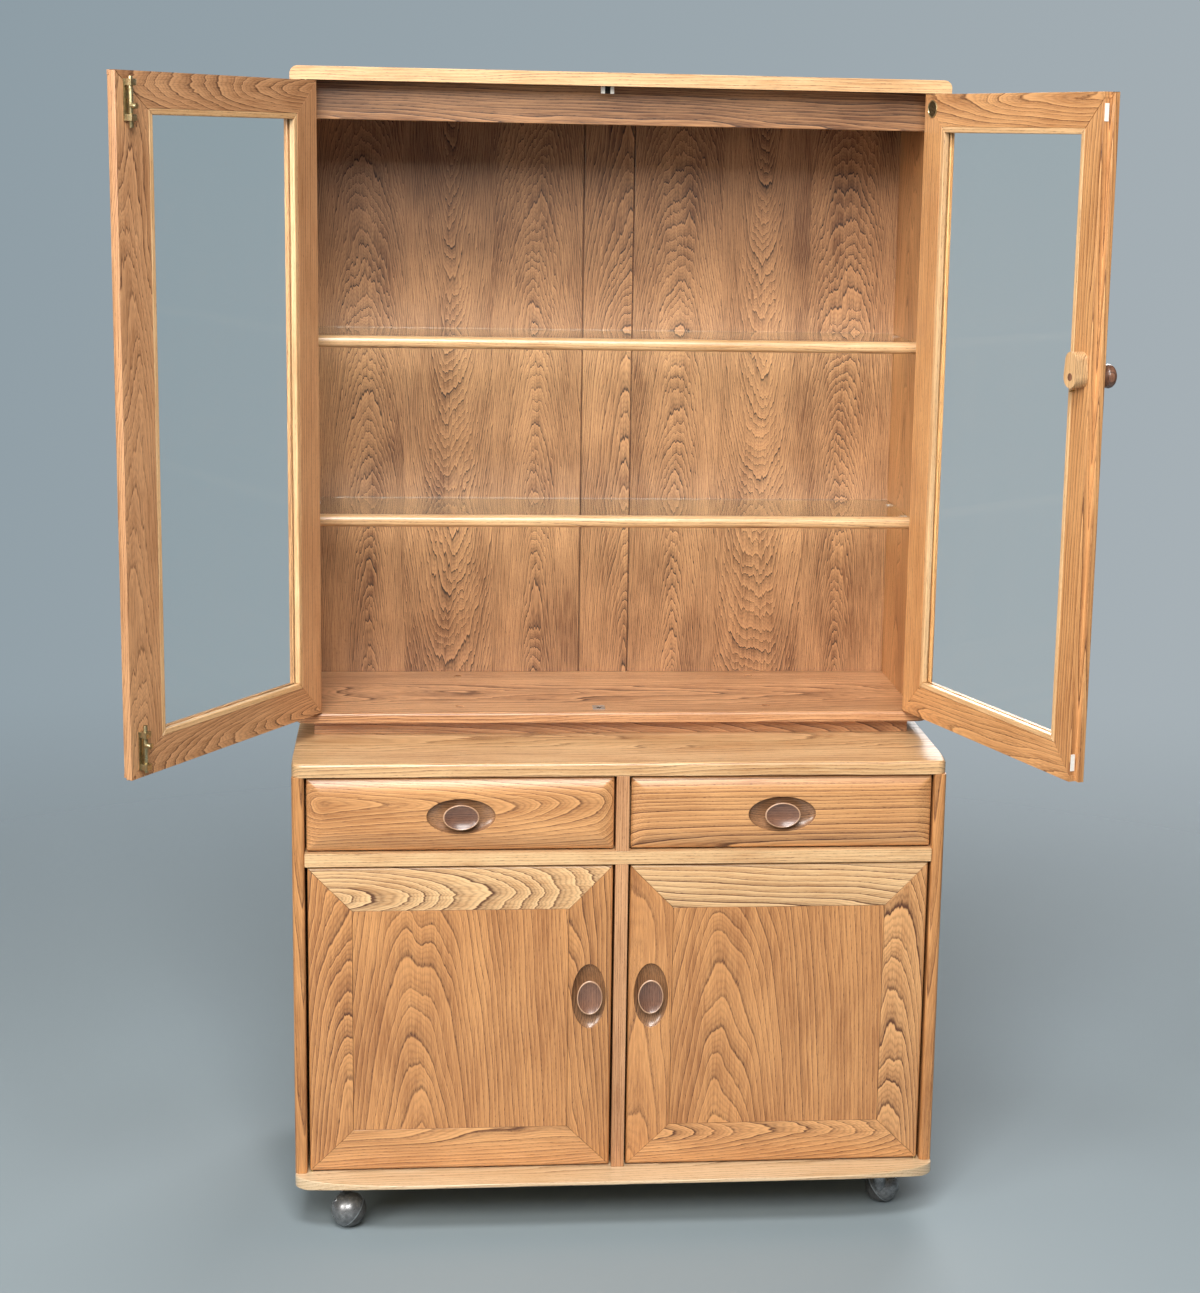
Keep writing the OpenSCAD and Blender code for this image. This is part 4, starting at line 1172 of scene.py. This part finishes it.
@dataclass
class Drawer:
    """A drawer: a front with a rounded border and an oval pull, and a plain box behind it."""

    side: str
    border: float = 28 * MM
    border_steps: int = 9
    fall: float = 8 * MM
    arris: float = 2.0 * MM
    pull_drop: float = 2 * MM
    ease: float = 0.8 * MM

    def build(self) -> None:
        """Builds the drawer in place of its nodes."""
        body = f"{self.side}_drawer"
        self.front(body)
        for node in (f"{body}_walls", f"{body}_bottom"):
            for part in enumerate(loose_boxes(node), 1):
                size = part[1].size
                along = RIGHT if size.x > size.y or node.endswith("bottom") else BACK
                inward = -UP if size.z < min(size.xy) else RIGHT if size.x < size.y else BACK
                plank(node, body, along, inward, Figure(25 * part[0]), Tone.CREAM, part=part)

    def front(self, body: str) -> None:
        """Builds the front with its border, its recess and its pull."""
        node = f"{body}_front"
        box = box_of(node)
        half = Vector((box.size.x / 2 - self.ease, 0, box.size.z / 2 - self.ease))
        shape = Solid.block((-half.x, 0, -half.z), (half.x, box.size.y, half.z))
        step = self.border / self.border_steps
        for number in range(1, self.border_steps + 1):
            for axis, reach in ((RIGHT, half.x), (UP, half.z)):
                for sign in (-1, 1):
                    shape.sliced(axis * sign * (reach - number * step), axis, keep_all=True)
        for vert in shape.bm.verts:
            if vert.co.y < TINY:
                gaps = (half.x - abs(vert.co.x), half.z - abs(vert.co.z))
                vert.co.y = max(arc_fall(gap, self.border, self.fall) for gap in gaps)
        creases = [v for v in shape.bm.verts if v.co.y < box.size.y - TINY
                   and abs((half.x - abs(v.co.x)) - (half.z - abs(v.co.z))) < TINY
                   and half.x - abs(v.co.x) < self.border + TINY]
        bmesh.ops.connect_verts(shape.bm, verts=creases)
        shape.mended().softened(self.arris, 4, 35)
        place = Matrix.Translation((box.middle.x, box_of("drawer_rail").low.y, box.middle.z))
        drawing = Drawing(body, place)
        handle = OvalHandle(drawing, Vector((0, 0, -self.pull_drop)), RIGHT)
        finish = drawing.finish(node, Vector(), RIGHT, BACK, DRAWER_FIGURES[self.side], Tone.GOLD)
        # The drawer front's recess carries painted shade.
        painted_recess_shade = handle.cut_into(shape, node)
        drawing.piece(shape, f"{node}_wood", finish, node, second=painted_recess_shade)
        handle.pull(f"{body}_pull")


@dataclass
class GlazedDoor:
    """A glazed door: four mitred members, a pane and the beads that hold it."""

    side: str
    hinge_stile: float = 47 * MM
    rail: float = 44 * MM
    bead: float = 8 * MM
    bead_arris: float = 1.3 * MM
    seat: float = 6 * MM
    glass: float = 4 * MM
    thick: float = 18 * MM
    pin_in: float = 3.5 * MM
    lap: float = 8 * MM
    lip: float = 8 * MM
    lap_play: float = 1 * MM
    play: float = 0.5 * MM
    arris: float = 0.9 * MM
    disc_rim: float = 0.12
    disc_arris: float = 0.3 * MM

    def __post_init__(self) -> None:
        """Finds the door's place and size from its joint and its nodes."""
        joint = joint_named(f"{self.side}_glazed_door_swing")
        pin, opened = Vector(joint["pos_m"]), -math.radians(joint["range_deg"][0])
        foot, sign = box_of(f"{self.side}_glazed_frame").low.z, 1 if self.side == "left" else -1
        matrix = (Matrix.Translation((pin.x, pin.y, foot)) @ Matrix.Diagonal((sign, 1, 1, 1))
                  @ Matrix.Rotation(-opened, 4, "Z") @ Matrix.Translation((-self.pin_in, -self.pin_in, 0)))
        back = matrix.inverted()
        drawn, pane = ([back @ v.co for v in frame["nodes"][f"{self.side}_glazed_{node}"].data.vertices]
                       for node in ("frame", "pane"))
        self.drawing = Drawing(f"{self.side}_glazed_door", matrix)
        self.width, self.height = max(p.x for p in drawn), max(p.z for p in drawn)
        self.lock_inner = max(p.x for p in pane) + self.play

    def build(self) -> None:
        """Builds the door in place of its nodes."""
        rebate = ((self.hinge_stile, self.seat, self.rail),
                  (self.lock_inner, self.thick + MM, self.height - self.rail))
        lap_low, lap_high = ((-MM, self.lip + self.lap_play) if self.side == "left"
                             else (self.lip, self.thick + MM))
        lap = ((self.width - self.lap, lap_low, -MM), (self.width + MM, lap_high, self.height + MM))
        outer = MitredFrame(self.width, self.height, self.hinge_stile + self.bead,
                            self.width - self.lock_inner + self.bead, self.rail + self.bead, self.thick)
        tone = Tone.AMBER if self.side == "left" else Tone.GOLD
        for edge, solid, middle, along in outer.members():
            solid.carved(Solid.block(*rebate))
            if edge is Edge.HINGE:
                solid.bevelled(solid.edges_at(lambda p: p.x < TINY and p.y < TINY), self.pin_in, 5)
            else:
                solid.carved(Solid.block(*lap))
            name = f"{self.side}_glazed_{edge.value}"
            finish = self.drawing.finish(name, middle + BACK * self.thick, along, -BACK,
                                         GLAZED_FIGURES[self.side][edge], tone)
            self.drawing.piece(solid.softened(self.arris), name, finish, f"{self.side}_glazed_frame")
        self.pane()
        self.beads()
        if self.side == "right":
            self.disc_and_pin()

    def pane(self) -> None:
        """Builds the pane."""
        node = f"{self.side}_glazed_pane"
        solid = Solid.block(
            (self.hinge_stile + self.play, self.seat, self.rail + self.play),
            (self.lock_inner - self.play, self.seat + self.glass, self.height - self.rail - self.play))
        self.drawing.piece(solid.softened(0.3 * MM), f"{node}_glass", shop.finish(DOOR_GLASS), node,
                           DOOR_GLASS.slot)

    def beads(self) -> None:
        """Builds the four beads that hold the pane."""
        bead, thick = self.bead, self.thick - self.seat - self.glass
        shift = Vector((self.hinge_stile, self.seat + self.glass, self.rail))
        inner = MitredFrame(self.lock_inner - self.hinge_stile, self.height - 2 * self.rail, bead, bead, bead,
                            thick)
        for edge, solid, middle, along in inner.members():
            name = f"{self.side}_glazed_bead_{edge.name.lower()}"
            finish = self.drawing.finish(name, middle + shift + BACK * thick, along, -BACK,
                                         Figure(40, 30, 0.01, 3.4, 5, 0.3, 0.4), Tone.CREAM)
            self.drawing.piece(solid.softened(self.bead_arris, 3), name, finish,
                               f"{self.side}_glazed_beads", at=Matrix.Translation(shift))

    def disc_and_pin(self) -> None:
        """Builds the plain brass disc with its thin raised rim, and the stop pin."""
        stand, arris = Matrix.Rotation(math.radians(-90), 4, "X"), self.disc_arris
        for box in loose_boxes("right_brass_fittings", self.drawing.matrix.inverted()):
            radius, tall = box.size.x / 2, box.size.y
            broad, inner = radius > tall, radius - self.disc_rim * radius
            end = [(inner, tall), (inner - arris, tall - 2 * arris), (0, tall - 2 * arris)]
            solid = Solid.turned([(0, 0), (radius, 0), (radius, tall - arris), (radius - arris, tall),
                                  *(end if broad else [(0, tall)])], 64)
            solid.marked(lambda spot, _: broad and spot.xy.length < inner - arris)
            foot = Matrix.Translation((box.middle.x, box.low.y, box.middle.z))
            self.drawing.piece(solid, "right_brass_disc" if broad else "right_stop_pin",
                               shop.finish(BRASS), "right_brass_fittings", BRASS.slot, shop.finish(OLIVE),
                               foot @ stand)


# The castors


@dataclass
class CastorHood:
    """The hood of a ball castor: most of a ball with a bright rim, on a neck with a pin."""

    corner: str
    ball: float = 25 * MM
    face: float = 6.5 * MM
    rim: float = 2.0 * MM
    raised: float = 0.45 * MM
    axle_hole: float = 1.7 * MM
    axle_ring: float = 3.6 * MM
    neck: float = 9 * MM
    neck_foot: float = 3 * MM
    neck_sunk: float = 4 * MM
    neck_flare: float = 8 * MM
    neck_gap: float = 3.5 * MM
    pin: float = 5 * MM
    steps: int = 28

    def build(self) -> None:
        """Builds the hood in place of its node."""
        node = f"castor_hood_{self.corner}"
        roll, swivel = (joint_named(f"castor_{self.corner}_{kind}") for kind in ("roll", "swivel"))
        rolling = box_of(f"castor_ball_{self.corner}")
        centre, axle = Vector(roll["pos_m"]), Vector(roll["axis"]).normalized()
        if axle.dot(rolling.middle - centre) < 0:
            axle = -axle
        rim = self.face - self.rim
        start, stop = math.asin(self.axle_ring / self.ball), math.acos(-rim / self.ball)
        turn = [start + (stop - start) * i / self.steps for i in range(self.steps + 1)]
        outer = math.sqrt(self.ball ** 2 - rim ** 2) + self.raised
        end = math.sqrt(self.ball ** 2 - self.face ** 2)
        hole, out = self.axle_hole, self.ball + self.raised
        shell = Solid.turned([
            (0, -self.ball + 2 * hole), (hole, -self.ball + 2 * hole), (hole, -out),
            (self.axle_ring - self.raised, -out),
            *((self.ball * math.sin(a), -self.ball * math.cos(a)) for a in turn), (outer, rim),
            (end + self.raised, self.face - 0.2 * self.rim), (end, self.face), (0, self.face)], 96)
        shell.marked(lambda spot, _: spot.z > rim - TINY
                     or spot.xy.length < self.axle_ring and spot.z < -self.ball)
        tilt = axle.to_track_quat("Z", "Y").to_matrix().to_4x4()
        shell.placed(Matrix.Translation(centre) @ tilt)
        shell.piece(f"{node}_shell", shop.finish(HOOD), node, HOOD.slot, node, shop.finish(STEEL))
        self.stem(node, Vector(swivel["pos_m"]))

    def stem(self, node: str, place: Vector) -> None:
        """Builds the neck and the pin that turns in the socket.

        Args:
            node: The node that it replaces, also the name of its body.
            place: A point on the pin's axis.
        """
        top, foot = box_of(node).high.z, self.ball - self.neck_sunk
        shoulder = box_of("base_bottom_board").low.z - self.neck_gap
        solid = Solid.turned([
            (0, foot), (self.neck_foot, foot), (self.neck, self.ball + self.neck_flare),
            (self.neck, shoulder), (self.pin, shoulder), (self.pin, top - MM), (self.pin - MM, top),
            (0, top)], 64)
        solid.placed(Matrix.Translation((place.x, place.y, 0)))
        solid.piece(f"{node}_stem", shop.finish(HOOD), node, HOOD.slot, node)


# The upper case


@dataclass
class UpperCase:
    """The shallow glazed case with its boarded back and glass shelves."""

    end_round: float = 11 * MM
    bolt: float = 3 * MM
    plug_sink: float = 1.6 * MM
    plug_arris: float = 0.4 * MM
    tongue_reach: float = 6 * MM
    board_arris: float = 0.9 * MM
    lip_round: float = 0.46

    def build(self) -> None:
        """Builds all fixed parts of the upper case."""
        for part in enumerate(loose_boxes("upper_plinth"), 1):
            along, inward = (RIGHT, BACK) if part[1].size.x > part[1].size.y else (BACK, RIGHT)
            plank("upper_plinth", "case", along, inward, Figure(40), Tone.AMBER, part=part)
        NosedBoard("upper_bottom_board", Figure(24, 200, 0.02, 3.6, bold=1.0), Tone.AMBER,
                   Coat(0.25, 0.34), plugs="screw_plugs").build()
        NosedBoard("upper_top_board", Figure(125, 60, 0.02, 4, bold=0.5), end_round=self.end_round).build()
        for side in SIDES:
            build_side(f"upper_{side}_side", side)
        # The head rail takes the SHADE tone: painted shade under the top board.
        plank("upper_head_rail", "case", RIGHT, BACK, Figure(36, 40, 0.02, 3.2, 8, 0.4), Tone.SHADE,
              1.5 * MM)
        self.back()
        self.shelves()
        self.keeps()
        self.screw_plugs()

    def back(self) -> None:
        """Builds the three boards of the back, the outer two laid from leaves of veneer."""
        figures = {"left": Figure(6, 60, -0.10, 2.0, 8, 0.85, 0.85, 133),
                   "middle": Figure(30, 60, 0.09, 2.2, 9, 0.6, 0.85),
                   "right": Figure(-4, 62, -0.11, 2.1, 8, 0.85, 0.85, 133)}
        boxes = sorted(loose_boxes("upper_back_boards"), key=lambda box: box.middle.x)
        tongue = min(box.size.y for box in boxes) / 2
        for (name, figure), box in zip(figures.items(), boxes):
            face, solid, groove_shade = (box.middle.x, box.low.y, box.middle.z), box.filled(), None
            if name == "middle":
                self.cut_tongues(solid, box, box.low.y + tongue)
                # The tongues' faces, at the bottoms of the grooves, are darkened as painted shade.
                groove_shade = elm.board("back groove", face, UP, BACK, figure, Tone.STAIN)
            finish = elm.board(f"back board {name}", face, UP, BACK, figure, Tone.SHADE)
            solid.softened(self.board_arris).piece(f"upper_back_board_{name}", finish, "case", "elm_back",
                                                   "upper_back_boards", groove_shade)

    def cut_tongues(self, solid: Solid, box: Box, face: float) -> None:
        """Cuts the middle plank's tongues, which close the grooves beside it, and marks their faces for
        painted shade at the bottoms of the grooves.

        Args:
            solid: The plank.
            box: Its place, tongues included.
            face: Where the tongues' faces lie along Y.
        """
        for sign, edge in ((-1, box.low.x), (1, box.high.x)):
            low, high = sorted((edge + sign * MM, edge - sign * self.tongue_reach))
            solid.carved(Solid.block((low, box.low.y - MM, box.low.z - MM), (high, face, box.high.z + MM)))
        solid.marked(lambda spot, _: abs(spot.y - face) < TINY)

    def shelves(self) -> None:
        """Builds the glass shelves and their wooden lippings."""
        panes, lips = (sorted(loose_boxes(node), key=lambda box: box.low.z)
                       for node in ("shelf_glass", "shelf_lippings"))
        for name, pane, lip in zip(("lower", "upper"), panes, lips):
            solid = Solid.block((pane.low.x, lip.high.y, pane.low.z), pane.high).softened(0.4 * MM)
            solid.piece(f"{name}_shelf_glass", shop.finish(SHELF_GLASS), "case", SHELF_GLASS.slot,
                        "shelf_glass")
            wood = lip.filled()
            front = wood.edges_at(lambda p: p.y < lip.low.y + TINY, 0, lip.size.z)
            wood.bevelled(front, self.lip_round * lip.size.z, 8).softened(0.5 * MM, limit=50)
            finish = elm.board(f"{name} lipping", (0, lip.low.y, lip.middle.z), RIGHT, BACK,
                               Figure(60, 40, 0.01, 3.5, 8, bold=0.6), Tone.CREAM)
            wood.piece(f"{name}_shelf_lipping", finish, "case", "elm", "shelf_lippings")

    def keeps(self) -> None:
        """Builds the two keeps of the bolts: a slotted block above and a plate with a hole below."""
        plate, block = sorted(loose_boxes("bolt_keeps"), key=lambda box: box.low.z)
        x, y = block.middle.x, block.middle.y - MM
        for name, box, play, solid, metal in (
                ("upper", block, 0.7 * MM, block.filled().softened(0.8 * MM, 3), NYLON),
                ("lower", plate, 0.5 * MM, plate.filled().softened(0.3 * MM), STEEL)):
            radius = self.bolt + play
            low, high = box.low.z - MM, box.high.z + MM
            if box is block:
                solid.carved(Solid.block((x - radius, box.low.y - MM, low), (x + radius, y, high)))
            solid.carved(Solid.rod(radius, low, high, (x, y), 48))
            # The walls of the slot and the hole take a dark finish: painted shade.
            solid.marked(lambda spot, normal: abs(spot.x - x) < self.bolt + MM and abs(normal.z) < 0.5
                         and spot.y > box.low.y + TINY)
            solid.piece(f"{name}_bolt_keep", shop.finish(metal), "case", NYLON.slot, "bolt_keeps",
                        shop.finish(SLOT_SHADE))

    def screw_plugs(self) -> None:
        """Builds the plugs over the screws in the bottom board, sunk a little below its face."""
        for number, box in enumerate(loose_boxes("screw_plugs"), 1):
            radius, top, arris = box.size.x / 2, box.size.z - self.plug_sink, self.plug_arris
            solid = Solid.turned([(0, 0), (radius, 0), (radius, top - arris), (radius - arris, top),
                                  (0, top)], 48)
            solid.placed(Matrix.Translation((box.middle.x, box.middle.y, box.low.z)))
            finish = elm.board(f"plug {number}", box.middle, RIGHT, -UP,
                               Figure(25, 20, ring=2.4, wander=3), Tone.STAIN, Coat(0.0, 0.5))
            solid.piece(f"screw_plug_{number}", finish, "case", "elm", "screw_plugs")


# Studio and camera


@dataclass(frozen=True)
class PhotoCamera:
    """The photograph's camera, in metres, radians and pixels of the picture."""

    place: tuple[float, float, float] = (-0.26976, -3.5062, 1.52198)
    yaw: float = -0.1054
    pitch: float = -0.1972
    roll: float = -0.0206
    focal_pixels: float = 2459.25
    middle: tuple[float, float] = (682.49, 631.85)
    picture: tuple[float, float] = (1200.0, 1293.0)
    sensor: float = 36.0

    def build(self) -> None:
        """Makes the camera and hands it to the scene."""
        data = bpy.data.cameras.new("camera")
        width, height = self.picture
        data.sensor_fit, data.sensor_width = "HORIZONTAL", self.sensor
        data.lens = self.focal_pixels * self.sensor / width
        data.shift_x = (width / 2 - self.middle[0]) / width
        data.shift_y = (self.middle[1] - height / 2) / width
        data.clip_start, data.clip_end = 0.05, 100.0
        camera = bpy.data.objects.new("camera", data)
        bpy.context.scene.collection.objects.link(camera)
        turn = (Matrix.Rotation(self.yaw, 3, "Z") @ Matrix.Rotation(self.pitch, 3, "X")
                @ Matrix.Rotation(self.roll, 3, "Y"))
        axes = Matrix((turn @ RIGHT, turn @ UP, -(turn @ BACK))).transposed()
        camera.matrix_world = Matrix.Translation(self.place) @ axes.to_4x4()
        bpy.context.scene.camera = camera
        log.info("camera: %.2f mm lens", data.lens)


@dataclass(frozen=True)
class Lamp:
    """A soft box that points at a spot."""

    name: str
    place: tuple[float, float, float]
    target: tuple[float, float, float]
    size: tuple[float, float]
    watts: float
    colour: tuple[float, float, float] = (1.0, 1.0, 1.0)

    def build(self) -> None:
        """Hangs the lamp."""
        data = bpy.data.lights.new(self.name, "AREA")
        data.shape, data.energy, data.color = "RECTANGLE", self.watts, self.colour
        data.size, data.size_y = self.size
        lamp = bpy.data.objects.new(self.name, data)
        bpy.context.scene.collection.objects.link(lamp)
        lamp.location = self.place
        ahead = Vector(self.target) - Vector(self.place)
        lamp.rotation_euler = ahead.to_track_quat("-Z", "Y").to_euler()


@dataclass(frozen=True)
class Studio:
    """A pale floor, pale surroundings and soft boxes."""

    floor_colour: tuple[float, float, float] = (0.255, 0.305, 0.33)
    floor_clouds: float = 1.04
    floor_size: float = 60.0
    backdrop_dark: tuple[float, float, float] = (0.235, 0.305, 0.348)
    backdrop_light: tuple[float, float, float] = (0.385, 0.436, 0.468)
    backdrop_slope: tuple[float, float, float] = (1.35, 0.0, -0.55)
    fade_from: float = 0.9
    fade_to: float = 3.6
    daylight: tuple[float, float, float] = (0.97, 0.985, 1.0)
    ambient: float = 0.10
    lamps: tuple[Lamp, ...] = (
        Lamp("front softbox", (-0.7, -4.2, 3.3), (0.0, 0.0, 0.9), (3.0, 1.5), 168.0, (1.0, 0.985, 0.96)),
        Lamp("side softbox", (-3.2, -3.0, 2.2), (0.0, 0.0, 0.9), (1.6, 1.6), 90.0, (1.0, 0.975, 0.93)),
        Lamp("top softbox", (-0.4, -2.5, 4.0), (0.0, -0.1, 0.6), (1.6, 1.0), 122.0),
        Lamp("back softbox", (1.6, 4.4, 3.2), (0.0, 0.0, 0.9), (2.4, 2.0), 120.0),
    )

    def build(self) -> None:
        """Builds the floor, the surroundings and the lamps."""
        bpy.context.scene.view_settings.view_transform = "Standard"
        self.floor()
        self.surroundings()
        for lamp in self.lamps:
            lamp.build()
        log.info("studio: %d lamps", len(self.lamps))

    def floor(self) -> None:
        """Lays the floor, which fades out at a distance."""
        solid = Solid()
        bmesh.ops.create_grid(solid.bm, x_segments=1, y_segments=1, size=self.floor_size / 2)
        floor = solid.draft("floor")
        material, g, shader = new_material("pale floor", {"Roughness": 0.7})
        place = g.place()
        lighter = (self.floor_clouds * c for c in self.floor_colour)
        clouds = g.mix(g.noise(place, 3.0, 1.5), (*self.floor_colour, 1), (*lighter, 1))
        g.feed(shader.inputs["Base Color"], clouds)
        distance = g.value("VectorMath", {0: place}, "Value", operation="LENGTH")
        fade = g.value("MapRange", {0: distance, 1: self.fade_from, 2: self.fade_to},
                       interpolation_type="SMOOTHSTEP")
        g.surface(fade, shader, g.node("BsdfTransparent"))
        floor.data.materials.append(material)

    def surroundings(self) -> None:
        """Sets the even light from all round, and the backdrop that the camera sees."""
        world = bpy.data.worlds.new("surroundings")
        bpy.context.scene.world = world
        world.use_nodes = True
        g = Graph(world.node_tree)
        even = world.node_tree.nodes["Background"]
        g.feed(even.inputs["Color"], (*self.daylight, 1))
        g.feed(even.inputs["Strength"], self.ambient)
        ahead = g.value("TexCoord", {}, "Generated")
        slope = g.value("VectorMath", {0: ahead, 1: self.backdrop_slope}, "Value", operation="DOT_PRODUCT")
        sweep = g.mix(g.clamped(slope + 0.5), (*self.backdrop_dark, 1), (*self.backdrop_light, 1))
        seen = g.node("Background", {"Color": sweep, "Strength": 1.0})
        rays = g.node("LightPath").outputs
        straight = g.maths("MAXIMUM", rays["Is Camera Ray"], rays["Is Transmission Ray"])
        g.surface(straight, even, seen, "World Output")


def main() -> None:
    """Builds the cabinet, its studio and its camera."""
    logging.basicConfig(level=logging.INFO, format="%(name)s: %(message)s")
    PhotoCamera().build()
    Studio().build()
    BaseCase().build()
    UpperCase().build()
    for side in SIDES:
        CupboardDoor(side).build()
        Drawer(side).build()
        GlazedDoor(side).build()
    plain = {
        "shelf_pegs": STEEL, "castor_plates": STEEL, "cupboard_catches": NYLON,
        "hinge_pins": BRASS, "left_bolt_plates": BRASS, "top_bolt": BRASS, "bottom_bolt": BRASS,
        "right_edge_buffers": NYLON,
    }
    for node, finish in plain.items():
        dress(node, shop.finish(finish), finish.slot)
    for corner in ("front_left", "front_right", "rear_left", "rear_right"):
        CastorHood(corner).build()
        dress(f"castor_ball_{corner}", shop.finish(TYRE), TYRE.slot)
    for node, arris, tone in (("turn_button", 2.4 * MM, Tone.CREAM), ("turning_knob", 0.5 * MM, Tone.DARK)):
        wood = elm.board(node, box_of(node).middle, UP, BACK, Figure(25, 20, 0.05, 2.4, 3, 0.3), tone)
        dress(node, wood, "elm", arris, 4, 50)


if __name__ == "__main__":
    main()
